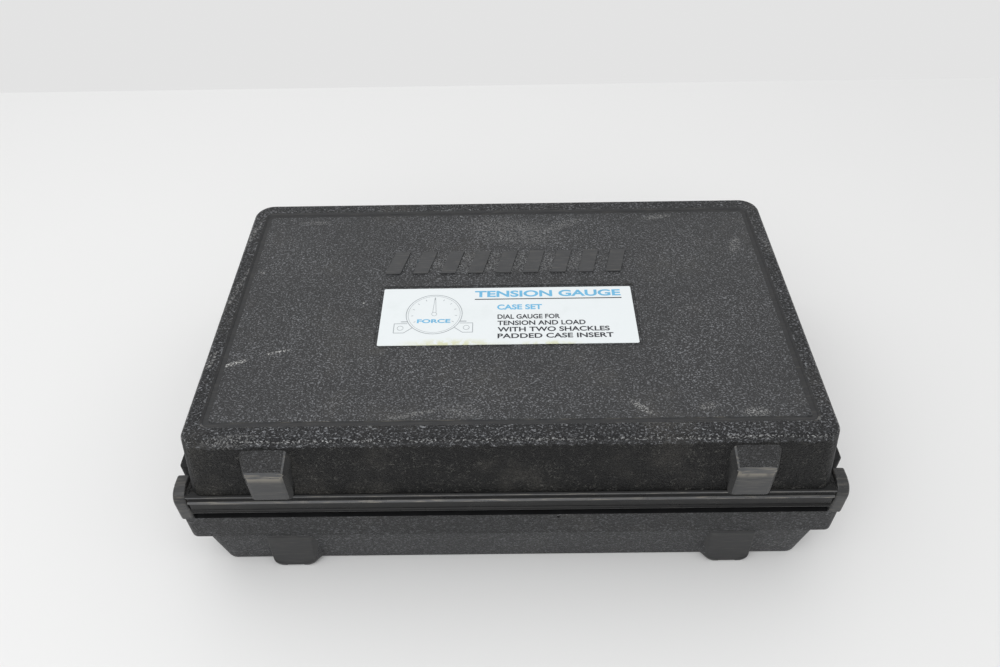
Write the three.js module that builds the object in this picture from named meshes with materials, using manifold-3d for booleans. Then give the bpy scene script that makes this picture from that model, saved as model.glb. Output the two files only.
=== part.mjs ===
// A dial dynamometer in its hinged carrying case, in millimetres.
// +X runs along the hinge, +Y from the hinge towards the carry handle, +Z up.
// The origin is the centre of the flat bottom that the case rests on.
// The case is modelled shut. The instrument lies dial up in the base foam, between its two shackles.

import * as THREE from 'three';
import { ConvexGeometry } from 'three/addons/geometries/ConvexGeometry.js';
import { mergeVertices } from 'three/addons/utils/BufferGeometryUtils.js';
import Module from 'manifold-3d';

const wasm = await Module();
wasm.setup();

// ---------- driving dimensions ----------

const GAP = 0.3; // between faces that would touch
const WALL = 3; // of both shells

// Heights of the shut case
const BASE_WALL_TOP = 33;
const PARTING = 58;
const STRIP_BOTTOM = 65; // of the lid's smooth strip above the hinge gap
const FLANGE_TOP = 83;
const LID_WALL_BOTTOM = 84.5;
const CASE_TOP = 133;

// Plan sizes: half widths along X, and the hinge and handle sides along Y
const BOTTOM = { halfX: 203.5, hingeY: -120.5, handleY: 120.5 };
const BASE_WALL = { halfX: 210, hingeY: -123, handleY: 126 };
const BAND = { halfX: 218.4, hingeY: -123.5, handleY: 138 };
const STRIP = { halfX: 207.5, hingeY: -125, handleY: -100 };
const LID_WALL = { halfX: 205, hingeY: -124.5, handleY: 124.5 };
const LID_TOP = { halfX: 200, hingeY: -119.3, handleY: 119.3 };
const FLANGE_HINGE_END = -101; // where the lid's side flange stops short of the ears
const CORNERS = { walls: 10, band: 7, flange: 3, strip: 2, panel: 5, recess: 2, label: 1, foam: 9 };

// Stretches of the thick handle-side band, from the middle outwards, that are hollowed between its recesses
const BAND_POCKETS = [[79, 109], [151, 206]];

// Lid panel
const PANEL = { halfX: 190, halfY: 108, depth: 1 };
const LABEL = { halfX: 88, lowY: -39.5, highY: 17, thickness: 0.4 };
const LABEL_RECESS = { halfX: 90.4, lowY: -42, highY: 20, depth: 0.6 };
const MOTIF = { halfX: 89, lowY: 33, highY: 58, bars: 9, barWidth: 11, slant: 6 };

// Hinge
const HINGE = { y: -115, z: 73, pinBite: 6 }; // pinBite is how far each pin goes into the lid's strip
const HINGE_BOSS = { width: 8, behind: 7 };
const GAP_SILL = 56.6; // top of the band under the gap that the lid swings in
const EAR = { inner: 209.5, outer: 218.4, hingeY: -124.5, handleY: -106 };
const LIP = { outer: -112, inner: -109.5, bottom: 58.8, halfX: 196 };
const PIN_RADIUS = 2.7;
const PIN_HOLE = 3;

// Feet that the case stands on when its handle is on top
const FOOT_X = 152;
const FOOT_FACE_Y = -127.5;
const LID_FOOT = {
  halfFace: 12.8, innerRoot: 130.5, outerRoot: 168, bottom: 81,
  faceTop: 108, rootTop: 119, bevelTop: 128.6, taper: 4,
};
const BASE_FOOT = { halfFace: 14.4, innerRoot: 129.5, outerRoot: 168, corner: 7, lean: 3.4, top: 33.6 };

// Carry handle
const HANDLE = {
  halfX: 72, arm: 13, bottom: 9, gripTop: 25, thickness: 9, corner: 6,
  pivotY: 132.5, pivotZ: 49, pinReach: 83.5,
};
const HANDLE_RECESS_HALF = 74.5;

// Latches
const LATCH = {
  x: 130, half: 15, pivotY: 134, pivotZ: 77, bottom: 41, thickness: 4, setBack: 0.2,
  lipHeight: 4, lipDepth: 2.4, curlRadius: 3.4, curlAngle: Math.PI * 1.15,
};
const LATCH_RECESS = { half: 16.5, floorY: 130.5, bottom: 38 };
const LATCH_PIN = { radius: 1.5, bite: 4 }; // bite is how far the pin goes into the lid beyond the recess

// Foam
const PAD_TOP = 12;
const FOAM_TOP = 56;
const LID_FOAM_BOTTOM = 86;
const FOAM = { halfX: 198.5, hingeY: -115.5, handleY: 115.5 };
const LID_FOAM = { halfX: 195, hingeY: -113, handleY: 113 };
const GAUGE_CUT_CLEARANCE = 4;
const BEAM_CUT = { halfX: 112, halfY: 20, corner: 12 };
const SCOOP = { halfX: 22, nearY: 60, farY: 98, corner: 14 }; // Y from the dial's centre
const SHACKLE_CUT = { halfX: 37, nearY: -19, farY: 84, corner: 16 }; // from the shackle's pin

// Instrument: the dial's centre, and the beam below it
const DIAL = { x: 0, y: 12 };
const BEAM = { y: -43, bottom: 13, top: 31, eyeX: 92, lugRadius: 16, eyeRadius: 10, barHalfHeight: 9 };
const SCREW_PLACES = [-34, 34]; // along X, on the beam
const SCREW = { radius: 2.6, hole: 2.9, head: 4.5, headHeight: 3, beamFloor: 4 };
const MOUNTING_PLATE = { halfX: 44, nearY: -9, farY: 22, corner: 4 }; // Y from the beam's middle
const HOUSING = { bottom: 34, floor: 37, top: 66, radius: 75, wall: 3 };
const BEZEL = { outer: 78, inner: 68, bottom: 60, top: 72 };
const LENS = { radius: 70.5, bottom: 66.6, top: 69.2, hole: 3.6 };
const DIAL_PLATE = { radius: 69, bottom: 56, top: 57.2, hole: 4 };
const ZERO_ANGLE = 150; // of both hands at rest, anticlockwise from +Y, in degrees
const PEAK_REST_OFFSET = 6; // the peak hand rests just short of the live one
const HAND_TIP_HALF = 0.5;
const HAND_TAIL_SPREAD = 1.6; // tail half-width over the half-width at the hub
const POINTER = { bottom: 59, top: 60, length: 58, tail: 18, half: 2.6, hub: 6, hubRise: 0.6 };
const PEAK = { bottom: 61.5, top: 62.5, length: 54, tail: 10, half: 1.8, hub: 5 };
const KNOB = { radius: 10, bottom: 69.8, top: 79, shaft: 3 };

// Movement
const MODULE = 1;
const PINION_TEETH = 12;
const SECTOR_FULL_TEETH = 90; // of the whole circle that the sector is cut from
const SECTOR_TEETH = 12;
const PITCH_PINION = (MODULE * PINION_TEETH) / 2;
const PITCH_SECTOR = (MODULE * SECTOR_FULL_TEETH) / 2;
const GEAR_BACKLASH = 0.1;
const SECTOR_PIVOT = { x: DIAL.x, y: DIAL.y - PITCH_PINION - PITCH_SECTOR - GEAR_BACKLASH };
const GEAR_BOTTOM = 47;
const GEAR_TOP = 50;
const SECTOR_HUB = 6.5;
const SECTOR_WEB = { root: 1.2, rimDepth: 8, neckDepth: 14, neckAngle: 0.25, hubRadius: 6, hubAngle: 0.5 };
const SECTOR_TAIL = { half: 3.4, length: 15, slotHalf: 1.8, slotStart: 8 };
const SECTOR_STUD = { radius: 2.5, hole: 2.8, head: 4, headHeight: 1.6 };
const ARBOR = { radius: 2, hole: 2.3 };
const MOVEMENT_PLATE = { bottom: 42, top: 43.6, halfX: 24, behindPivot: 8, pastDial: 14, corner: 6 };
const PILLAR = { radius: 2.5, x: 18, inset: 8 };
const TAIL_ANGLE = -20; // of the sector's tail at rest, from -Y, in degrees
const TAIL_REACH = 11.6; // from the sector's pivot down to the drive link's pin
const DRIVE_LINK = { behind: 20, ahead: 3, halfY: 2, bottom: 44.4, top: 46.4, pinRadius: 1.3 };
const HAIRSPRING = { turns: 3, start: 3.4, pitch: 2.2, width: 0.5, bottom: 52, top: 53.4 };

// Shackles
const SHACKLE = {
  x: 155, y: -22, z: 27, jaw: 12, bowRadius: 5.5, swell: 6, eyeRadius: 13, eyeWidth: 12, reach: 66, hole: 8,
};
const SHACKLE_PIN = {
  radius: 7.6, end: 2, collar: 11.5, collarWidth: 4, head: 8.5, headEnd: 10, barHole: 2.2, barAt: 7,
};

// ---------- materials ----------

function finish(color, roughness, metalness) {
  return { color, roughness, metalness };
}

const FINISHES = {
  caseBlack: finish(0x262627, 0.62, 0),
  labelWhite: finish(0xe6e8ea, 0.35, 0),
  foamGrey: finish(0x2c2d30, 0.95, 0),
  steel: finish(0x9a9c9e, 0.35, 1),
  brass: finish(0xb9974e, 0.35, 1),
  castGrey: finish(0x8d9194, 0.45, 1),
  dialWhite: finish(0xf2f2ee, 0.5, 0),
  glass: finish(0xeef4f6, 0.05, 0),
  pointerBlack: finish(0x111112, 0.4, 0.2),
  peakRed: finish(0xb3201c, 0.4, 0.1),
  shackleBlue: finish(0x2f5f8c, 0.45, 0.3),
};

// ---------- geometry helpers ----------

const object = new THREE.Group();

function radians(degrees) {
  return (degrees * Math.PI) / 180;
}

function solid(geometry) {
  const bare = geometry.clone();
  bare.deleteAttribute('normal');
  bare.deleteAttribute('uv');
  const merged = mergeVertices(bare, 1e-4);
  return new wasm.Manifold(
    new wasm.Mesh({
      numProp: 3,
      vertProperties: new Float32Array(merged.attributes.position.array),
      triVerts: new Uint32Array(merged.index.array),
    }),
  );
}

function geometryOf(manifold) {
  const made = manifold.getMesh();
  const geometry = new THREE.BufferGeometry();
  geometry.setAttribute('position', new THREE.BufferAttribute(made.vertProperties, 3));
  geometry.setIndex(new THREE.BufferAttribute(made.triVerts, 1));
  geometry.computeVertexNormals();
  return geometry;
}

function addNode(name, shape, look, parent = object) {
  const geometry = shape.isBufferGeometry ? shape : geometryOf(shape);
  const mesh = new THREE.Mesh(geometry, new THREE.MeshStandardMaterial(FINISHES[look]));
  mesh.name = name;
  parent.add(mesh);
  return mesh;
}

function roundedRectangle(lowX, lowY, highX, highY, radius) {
  const shape = new THREE.Shape();
  shape.absarc(highX - radius, highY - radius, radius, 0, Math.PI / 2);
  shape.absarc(lowX + radius, highY - radius, radius, Math.PI / 2, Math.PI);
  shape.absarc(lowX + radius, lowY + radius, radius, Math.PI, Math.PI * 1.5);
  shape.absarc(highX - radius, lowY + radius, radius, Math.PI * 1.5, Math.PI * 2);
  return shape;
}

// An outline with square upper corners and rounded lower ones
function roundedBelow(centre, half, bottom, top, radius) {
  const shape = new THREE.Shape();
  shape.moveTo(centre + half, top);
  shape.lineTo(centre - half, top);
  shape.absarc(centre - half + radius, bottom + radius, radius, Math.PI, Math.PI * 1.5);
  shape.absarc(centre + half - radius, bottom + radius, radius, Math.PI * 1.5, Math.PI * 2);
  return shape;
}

function planShape(plan, inset, radius) {
  return roundedRectangle(-plan.halfX + inset, plan.hingeY + inset,
    plan.halfX - inset, plan.handleY - inset, radius);
}

function polygon(points) {
  return new THREE.Shape(points.map(([x, y]) => new THREE.Vector2(x, y)));
}

// A shape in the XY plane, raised from one height to another
function raise(shape, low, high, curveSegments = 4) {
  const geometry = new THREE.ExtrudeGeometry(shape, {
    depth: high - low, bevelEnabled: false, curveSegments,
  });
  return geometry.translate(0, 0, low);
}

// A shape drawn in the YZ plane (its x is Y, its y is Z), carried along X
function sweepX(shape, low, high, curveSegments = 4) {
  const geometry = raise(shape, low, high, curveSegments);
  return geometry.applyMatrix4(new THREE.Matrix4().set(0, 0, 1, 0, 1, 0, 0, 0, 0, 1, 0, 0, 0, 0, 0, 1));
}

// A shape drawn in the XZ plane, carried along Y
function sweepY(shape, low, high, curveSegments = 4) {
  const geometry = raise(shape, -high, -low, curveSegments);
  return geometry.rotateX(Math.PI / 2);
}

function box(lowX, lowY, lowZ, highX, highY, highZ) {
  const geometry = new THREE.BoxGeometry(highX - lowX, highY - lowY, highZ - lowZ);
  return geometry.translate((lowX + highX) / 2, (lowY + highY) / 2, (lowZ + highZ) / 2);
}

function disc(radius, low, high, x = 0, y = 0, sides = 32) {
  const geometry = new THREE.CylinderGeometry(radius, radius, high - low, sides);
  return geometry.rotateX(Math.PI / 2).translate(x, y, (low + high) / 2);
}

function rodX(radius, low, high, y, z, sides = 20) {
  const geometry = new THREE.CylinderGeometry(radius, radius, high - low, sides);
  return geometry.rotateZ(Math.PI / 2).translate((low + high) / 2, y, z);
}

// A closed body between two level outlines with the same number of points
function loft(lowShape, lowZ, highShape, highZ, segments = 4) {
  const low = lowShape.getPoints(segments).map((p) => new THREE.Vector3(p.x, p.y, lowZ));
  const high = highShape.getPoints(segments).map((p) => new THREE.Vector3(p.x, p.y, highZ));
  return new ConvexGeometry([...low, ...high]);
}

function hull(points) {
  return new ConvexGeometry(points.map(([x, y, z]) => new THREE.Vector3(x, y, z)));
}

function ringProfile(points) {
  return [...points, points[0]].map(([r, z]) => new THREE.Vector2(r, z));
}

// A turned ring about the dial's axis; its outline closes on itself
function turned(points, sides = 48) {
  const geometry = new THREE.LatheGeometry(ringProfile(points), sides);
  return geometry.rotateX(Math.PI / 2).translate(DIAL.x, DIAL.y, 0);
}

const SIDES = [['left', -1], ['right', 1]];

// ---------- base ----------

function baseOutside() {
  const bottom = planShape(BOTTOM, 0, CORNERS.walls);
  const wall = solid(loft(bottom, 0, planShape(BASE_WALL, 0, CORNERS.walls), BASE_WALL_TOP + 1));
  const band = solid(raise(planShape(BAND, 0, CORNERS.band), BASE_WALL_TOP, PARTING));
  let outside = wall.add(band);
  for (const [, side] of SIDES) {
    outside = outside.add(solid(hingeEar(side)));
    outside = outside.add(solid(baseFoot(side)));
  }
  return outside;
}

// An ear is square at the back and rounded at the front, about the hinge axis
function hingeEar(side) {
  const radius = HINGE.y - EAR.hingeY;
  const outline = new THREE.Shape();
  outline.moveTo(EAR.hingeY, PARTING - WALL);
  outline.lineTo(EAR.handleY, PARTING - WALL);
  outline.lineTo(EAR.handleY, HINGE.z + radius);
  outline.absarc(HINGE.y, HINGE.z, radius, Math.PI / 2, Math.PI);
  const low = side > 0 ? EAR.inner : -EAR.outer;
  return sweepX(outline, low, low + EAR.outer - EAR.inner, 6);
}

// A base foot leans out from the band's lower edge to its face, and has rounded lower corners
function baseFoot(side) {
  const { halfFace, innerRoot, outerRoot, corner, lean, top } = BASE_FOOT;
  const face = roundedBelow(side * FOOT_X, halfFace, 0, top, corner).getPoints(3);
  const rootX = (side * (innerRoot + outerRoot)) / 2;
  const root = roundedBelow(rootX, (outerRoot - innerRoot) / 2, 0, top, corner).getPoints(3);
  const leanAt = (z) => lean * Math.max(0, (z - corner) / (top - corner));
  return hull([
    ...face.map((p) => [p.x, FOOT_FACE_Y + leanAt(p.y), p.y]),
    ...root.map((p) => [p.x, BOTTOM.hingeY + 1, p.y]),
  ]);
}

function baseHollow() {
  const corner = CORNERS.walls - WALL;
  const floorShape = planShape(BOTTOM, WALL, corner);
  const lower = solid(loft(floorShape, WALL, planShape(BASE_WALL, WALL, corner), PARTING + 1));
  const shelf = BASE_WALL_TOP + WALL;
  const upper = solid(box(-BAND.halfX + WALL, EAR.handleY + WALL, shelf,
    BAND.halfX - WALL, BASE_WALL.handleY - WALL, PARTING + 1));
  return lower.add(upper).add(bandPockets(shelf, PARTING + 1));
}

// The hollowed stretches of the handle-side band
function bandPockets(low, high) {
  const handleY = BAND.handleY - WALL;
  let pockets = null;
  for (const [, side] of SIDES) {
    for (const [near, far] of BAND_POCKETS) {
      const ends = [side * near, side * far].sort((a, b) => a - b);
      const pocket = solid(box(ends[0], LID_TOP.handleY, low, ends[1], handleY, high));
      pockets = pockets ? pockets.add(pocket) : pocket;
    }
  }
  return pockets;
}

function baseCuts() {
  let cuts = solid(box(-HANDLE_RECESS_HALF, BASE_WALL.handleY + 1, BASE_WALL_TOP - 1,
    HANDLE_RECESS_HALF, BAND.handleY + 1, PARTING + 1));
  cuts = cuts.add(solid(rodX(PIN_HOLE, -HANDLE.pinReach - GAP, HANDLE.pinReach + GAP,
    HANDLE.pivotY, HANDLE.pivotZ)));
  const gapEnd = EAR.inner - 2 * GAP;
  const gapBack = BASE_WALL.hingeY + WALL + 1;
  cuts = cuts.add(solid(box(-gapEnd, BAND.hingeY - 1, GAP_SILL, gapEnd, gapBack, PARTING + 1)));
  for (const [, side] of SIDES) {
    const centre = side * LATCH.x;
    cuts = cuts.add(solid(box(centre - LATCH_RECESS.half, LATCH_RECESS.floorY, LATCH_RECESS.bottom,
      centre + LATCH_RECESS.half, BAND.handleY + 1, PARTING + 1)));
    const inner = side > 0 ? EAR.inner - 1 : -EAR.outer - 1;
    cuts = cuts.add(solid(rodX(PIN_HOLE, inner, inner + EAR.outer - EAR.inner + 2, HINGE.y, HINGE.z)));
  }
  return cuts;
}

function addBase() {
  addNode('base_shell', baseOutside().subtract(baseHollow()).subtract(baseCuts()), 'caseBlack');
  for (const [word, side] of SIDES) {
    const low = side > 0 ? STRIP.halfX - HINGE.pinBite : -EAR.outer + GAP;
    const length = EAR.outer - STRIP.halfX + HINGE.pinBite - GAP;
    addNode(`hinge_pin_${word}`, rodX(PIN_RADIUS, low, low + length, HINGE.y, HINGE.z), 'steel');
  }
}

// ---------- lid ----------

function lidOutside() {
  const foot = planShape(LID_WALL, 0, CORNERS.walls);
  const top = solid(loft(foot, LID_WALL_BOTTOM - 2, planShape(LID_TOP, 0, CORNERS.walls), CASE_TOP));
  const flangePlan = { ...BAND, hingeY: FLANGE_HINGE_END };
  const flange = solid(raise(planShape(flangePlan, 0, CORNERS.flange), PARTING + GAP, FLANGE_TOP));
  const strip = solid(raise(planShape(STRIP, 0, CORNERS.strip), STRIP_BOTTOM, LID_WALL_BOTTOM));
  let outside = top.add(flange).add(strip).add(hingeLip());
  for (const [, side] of SIDES) {
    outside = outside.add(solid(lidFoot(side)));
  }
  return outside;
}

// A foot on the lid's hinge wall: a flat face with sloped sides and a bevel that runs up into the wall
function lidFoot(side) {
  const { halfFace, innerRoot, outerRoot, bottom, faceTop, rootTop, bevelTop, taper } = LID_FOOT;
  const rootY = LID_TOP.hingeY + 2;
  const points = [];
  for (const [, edge] of SIDES) {
    points.push([side * FOOT_X + edge * halfFace, FOOT_FACE_Y, bottom]);
    points.push([side * FOOT_X + edge * halfFace, FOOT_FACE_Y, faceTop]);
  }
  for (const [root, inwards] of [[innerRoot, 1], [outerRoot, -1]]) {
    points.push([side * root, rootY, bottom]);
    points.push([side * root, rootY, rootTop]);
    points.push([side * (root + inwards * taper), rootY, bevelTop]);
  }
  return hull(points);
}

function lidHollow() {
  const roof = CASE_TOP - PANEL.depth - LABEL_RECESS.depth - WALL;
  const mouth = planShape(LID_WALL, WALL, CORNERS.walls - WALL);
  const upper = solid(loft(mouth, LID_WALL_BOTTOM, planShape(LID_TOP, WALL, CORNERS.walls - WALL), roof));
  const throat = solid(raise(mouth, PARTING - 1, LID_WALL_BOTTOM + 0.5));
  const side = solid(box(-BAND.halfX + WALL, FLANGE_HINGE_END + WALL, PARTING - 1,
    BAND.halfX - WALL, LID_WALL.handleY - WALL, FLANGE_TOP - WALL));
  const open = upper.add(throat).add(side).add(bandPockets(PARTING - 1, FLANGE_TOP - WALL));
  return open.subtract(hingeBosses()).subtract(hingeLip());
}

// The strip's floor and the lip that hangs from it inside the base, which close the hinge gap from within
function hingeLip() {
  const half = STRIP.halfX;
  const floor = solid(box(-half, STRIP.hingeY, STRIP_BOTTOM, half, LIP.inner, STRIP_BOTTOM + WALL));
  const lip = solid(box(-LIP.halfX, LIP.outer, LIP.bottom, LIP.halfX, LIP.inner, STRIP_BOTTOM + 1));
  return floor.add(lip);
}

// Blocks left standing in the throat's two hinge corners, which hold the pins
function hingeBosses() {
  const length = WALL + HINGE_BOSS.width;
  const behind = HINGE.y + HINGE_BOSS.behind;
  let bosses = null;
  for (const [, side] of SIDES) {
    const low = side > 0 ? STRIP.halfX - length : -STRIP.halfX;
    const boss = solid(box(low, STRIP.hingeY, STRIP_BOTTOM, low + length, behind, LID_WALL_BOTTOM + 1));
    bosses = bosses ? bosses.add(boss) : boss;
  }
  return bosses;
}

function lidCuts() {
  const panelZ = CASE_TOP - PANEL.depth;
  const panelOutline = roundedRectangle(-PANEL.halfX, -PANEL.halfY, PANEL.halfX, PANEL.halfY, CORNERS.panel);
  const panel = solid(raise(panelOutline, panelZ, CASE_TOP + 1));
  const recessOutline = roundedRectangle(-LABEL_RECESS.halfX, LABEL_RECESS.lowY,
    LABEL_RECESS.halfX, LABEL_RECESS.highY, CORNERS.recess);
  const recess = solid(raise(recessOutline, panelZ - LABEL_RECESS.depth, CASE_TOP));
  let cuts = panel.add(recess);
  for (const [, side] of SIDES) {
    const low = side > 0 ? STRIP.halfX - HINGE.pinBite - GAP : -STRIP.halfX - 1;
    cuts = cuts.add(solid(rodX(PIN_HOLE, low, low + HINGE.pinBite + GAP + 1, HINGE.y, HINGE.z)));
    const centre = side * LATCH.x;
    cuts = cuts.add(solid(box(centre - LATCH_RECESS.half, LATCH_RECESS.floorY, PARTING - 1,
      centre + LATCH_RECESS.half, BAND.handleY + 1, FLANGE_TOP + 1)));
    const reach = LATCH_RECESS.half + LATCH_PIN.bite + GAP;
    cuts = cuts.add(solid(rodX(LATCH_PIN.radius + GAP, centre - reach, centre + reach,
      LATCH.pivotY, LATCH.pivotZ, 12)));
  }
  return cuts;
}

// A row of slanted bars, raised to the height of the panel's border
function motifBars() {
  const pitch = (2 * MOTIF.halfX - MOTIF.barWidth - MOTIF.slant) / (MOTIF.bars - 1);
  const bars = [];
  for (let i = 0; i < MOTIF.bars; i += 1) {
    const x = -MOTIF.halfX + i * pitch;
    const outline = polygon([
      [x, MOTIF.lowY], [x + MOTIF.barWidth, MOTIF.lowY],
      [x + MOTIF.barWidth + MOTIF.slant, MOTIF.highY], [x + MOTIF.slant, MOTIF.highY],
    ]);
    bars.push(solid(raise(outline, CASE_TOP - PANEL.depth - 1, CASE_TOP)));
  }
  return bars;
}

function addLid() {
  let shell = lidOutside().subtract(lidHollow()).subtract(lidCuts());
  for (const bar of motifBars()) {
    shell = shell.add(bar);
  }
  addNode('lid_shell', shell, 'caseBlack');
  const labelBottom = CASE_TOP - PANEL.depth - LABEL_RECESS.depth + GAP;
  const outline = roundedRectangle(-LABEL.halfX, LABEL.lowY, LABEL.halfX, LABEL.highY, CORNERS.label);
  addNode('label', raise(outline, labelBottom, labelBottom + LABEL.thickness, 2), 'labelWhite');
  for (const [word, side] of SIDES) {
    addLatch(word, side * LATCH.x);
  }
}

// A latch hangs from its pin over the parting line, and ends in a finger lip
function addLatch(word, centre) {
  const outline = new THREE.Shape();
  const outerY = BAND.handleY - LATCH.setBack;
  const innerY = outerY - LATCH.thickness;
  outline.moveTo(innerY, LATCH.bottom + LATCH.lipHeight);
  outline.lineTo(innerY + LATCH.lipDepth, LATCH.bottom);
  outline.lineTo(outerY, LATCH.bottom);
  outline.lineTo(outerY, LATCH.pivotZ - 2);
  outline.absarc(LATCH.pivotY, LATCH.pivotZ, LATCH.curlRadius, 0, LATCH.curlAngle);
  outline.lineTo(innerY, LATCH.pivotZ - 8);
  const plate = solid(sweepX(outline, centre - LATCH.half, centre + LATCH.half, 8));
  const beyond = LATCH.half + 1;
  const holeRadius = LATCH_PIN.radius + GAP;
  const hole = solid(rodX(holeRadius, centre - beyond, centre + beyond, LATCH.pivotY, LATCH.pivotZ, 12));
  addNode(`latch_${word}`, plate.subtract(hole), 'caseBlack');
  const reach = LATCH_RECESS.half + LATCH_PIN.bite;
  const pin = rodX(LATCH_PIN.radius, centre - reach, centre + reach, LATCH.pivotY, LATCH.pivotZ, 12);
  addNode(`latch_pin_${word}`, pin, 'steel');
}

// ---------- carry handle ----------

// A grip between two arms, each of which ends in a round knuckle about its pin
function addHandle() {
  const outer = roundedBelow(0, HANDLE.halfX, HANDLE.bottom, HANDLE.pivotZ, HANDLE.corner);
  const innerHalf = HANDLE.halfX - HANDLE.arm;
  const inner = roundedRectangle(-innerHalf, HANDLE.gripTop, innerHalf, HANDLE.pivotZ + 20, HANDLE.corner);
  const radius = HANDLE.thickness / 2;
  const lowY = HANDLE.pivotY - radius;
  const highY = HANDLE.pivotY + radius;
  let handle = solid(sweepY(outer, lowY, highY));
  handle = handle.add(solid(rodX(radius, -HANDLE.halfX, HANDLE.halfX, HANDLE.pivotY, HANDLE.pivotZ, 24)));
  handle = handle.subtract(solid(sweepY(inner, lowY - 1, highY + 1)));
  const beyond = HANDLE.halfX + 1;
  handle = handle.subtract(solid(rodX(PIN_HOLE, -beyond, beyond, HANDLE.pivotY, HANDLE.pivotZ)));
  addNode('carry_handle', handle, 'caseBlack');
  for (const [word, side] of SIDES) {
    const low = side > 0 ? innerHalf + 1 : -HANDLE.pinReach;
    const length = HANDLE.pinReach - innerHalf - 1;
    addNode(`handle_pin_${word}`, rodX(PIN_RADIUS, low, low + length, HANDLE.pivotY, HANDLE.pivotZ), 'steel');
  }
}

// ---------- foam ----------

function addFoam() {
  const outline = planShape(FOAM, 0, CORNERS.foam);
  addNode('base_pad', raise(outline, WALL + GAP, PAD_TOP, 3), 'foamGrey');
  let insert = solid(raise(outline, PAD_TOP + GAP, FOAM_TOP, 3));
  for (const cut of foamCuts()) {
    insert = insert.subtract(solid(cut));
  }
  addNode('base_foam', insert, 'foamGrey');
  const roof = CASE_TOP - PANEL.depth - LABEL_RECESS.depth - WALL - GAP;
  addNode('lid_foam', raise(planShape(LID_FOAM, 0, CORNERS.foam), LID_FOAM_BOTTOM, roof, 3), 'foamGrey');
}

// Through cuts for the gauge, its beam, the finger scoops and the two shackles
function foamCuts() {
  const low = PAD_TOP - 1;
  const high = FOAM_TOP + 1;
  const cuts = [disc(HOUSING.radius + GAUGE_CUT_CLEARANCE, low, high, DIAL.x, DIAL.y, 40)];
  cuts.push(raise(roundedRectangle(-BEAM_CUT.halfX, BEAM.y - BEAM_CUT.halfY,
    BEAM_CUT.halfX, BEAM.y + BEAM_CUT.halfY, BEAM_CUT.corner), low, high));
  cuts.push(raise(roundedRectangle(-SCOOP.halfX, DIAL.y + SCOOP.nearY,
    SCOOP.halfX, DIAL.y + SCOOP.farY, SCOOP.corner), low, high));
  for (const [, side] of SIDES) {
    const centre = side * SHACKLE.x;
    cuts.push(raise(roundedRectangle(centre - SHACKLE_CUT.halfX, SHACKLE.y + SHACKLE_CUT.nearY,
      centre + SHACKLE_CUT.halfX, SHACKLE.y + SHACKLE_CUT.farY, SHACKLE_CUT.corner), low, high));
  }
  return cuts;
}

// ---------- gauge body ----------

function addBeam() {
  const bar = solid(box(-BEAM.eyeX, BEAM.y - BEAM.barHalfHeight, BEAM.bottom,
    BEAM.eyeX, BEAM.y + BEAM.barHalfHeight, BEAM.top));
  let beam = bar;
  for (const [, side] of SIDES) {
    const lug = solid(disc(BEAM.lugRadius, BEAM.bottom, BEAM.top, side * BEAM.eyeX, BEAM.y, 28));
    beam = beam.add(lug);
  }
  for (const [, side] of SIDES) {
    const eye = disc(BEAM.eyeRadius, BEAM.bottom - 1, BEAM.top + 1, side * BEAM.eyeX, BEAM.y, 24);
    beam = beam.subtract(solid(eye));
  }
  for (const x of SCREW_PLACES) {
    beam = beam.subtract(solid(disc(SCREW.hole, BEAM.bottom + SCREW.beamFloor, BEAM.top + 1, x, BEAM.y, 12)));
  }
  addNode('deflection_beam', beam, 'steel');
}

function addMounting() {
  const { halfX, nearY, farY, corner } = MOUNTING_PLATE;
  const outline = roundedRectangle(-halfX, BEAM.y + nearY, halfX, BEAM.y + farY, corner);
  let plate = solid(raise(outline, BEAM.top + GAP, HOUSING.bottom - GAP, 3));
  for (const [i, x] of SCREW_PLACES.entries()) {
    plate = plate.subtract(solid(disc(SCREW.hole, BEAM.top, HOUSING.bottom, x, BEAM.y, 12)));
    const shankLow = BEAM.bottom + SCREW.beamFloor + GAP;
    const shank = solid(disc(SCREW.radius, shankLow, HOUSING.floor + 1, x, BEAM.y, 12));
    const headLow = HOUSING.floor + GAP;
    const head = solid(disc(SCREW.head, headLow, headLow + SCREW.headHeight, x, BEAM.y, 6));
    addNode(`mounting_screw_${i + 1}`, shank.add(head), 'steel');
  }
  addNode('mounting_plate', plate, 'steel');
}

function addHousing() {
  const { radius, wall, bottom, floor, top } = HOUSING;
  const cup = new THREE.LatheGeometry([
    [0, bottom], [radius - 3, bottom], [radius, bottom + 3],
    [radius, BEZEL.bottom - 2], [radius - 1, BEZEL.bottom], [radius - 1, top],
    [radius - wall - 1, top], [radius - wall - 1, floor], [0, floor],
  ].map(([r, z]) => new THREE.Vector2(r, z)), 48);
  let housing = solid(cup.rotateX(Math.PI / 2).translate(DIAL.x, DIAL.y, 0));
  for (const x of SCREW_PLACES) {
    housing = housing.subtract(solid(disc(SCREW.hole, bottom - 1, floor + 1, x, BEAM.y, 12)));
  }
  addNode('gauge_housing', housing, 'castGrey');
}

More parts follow.
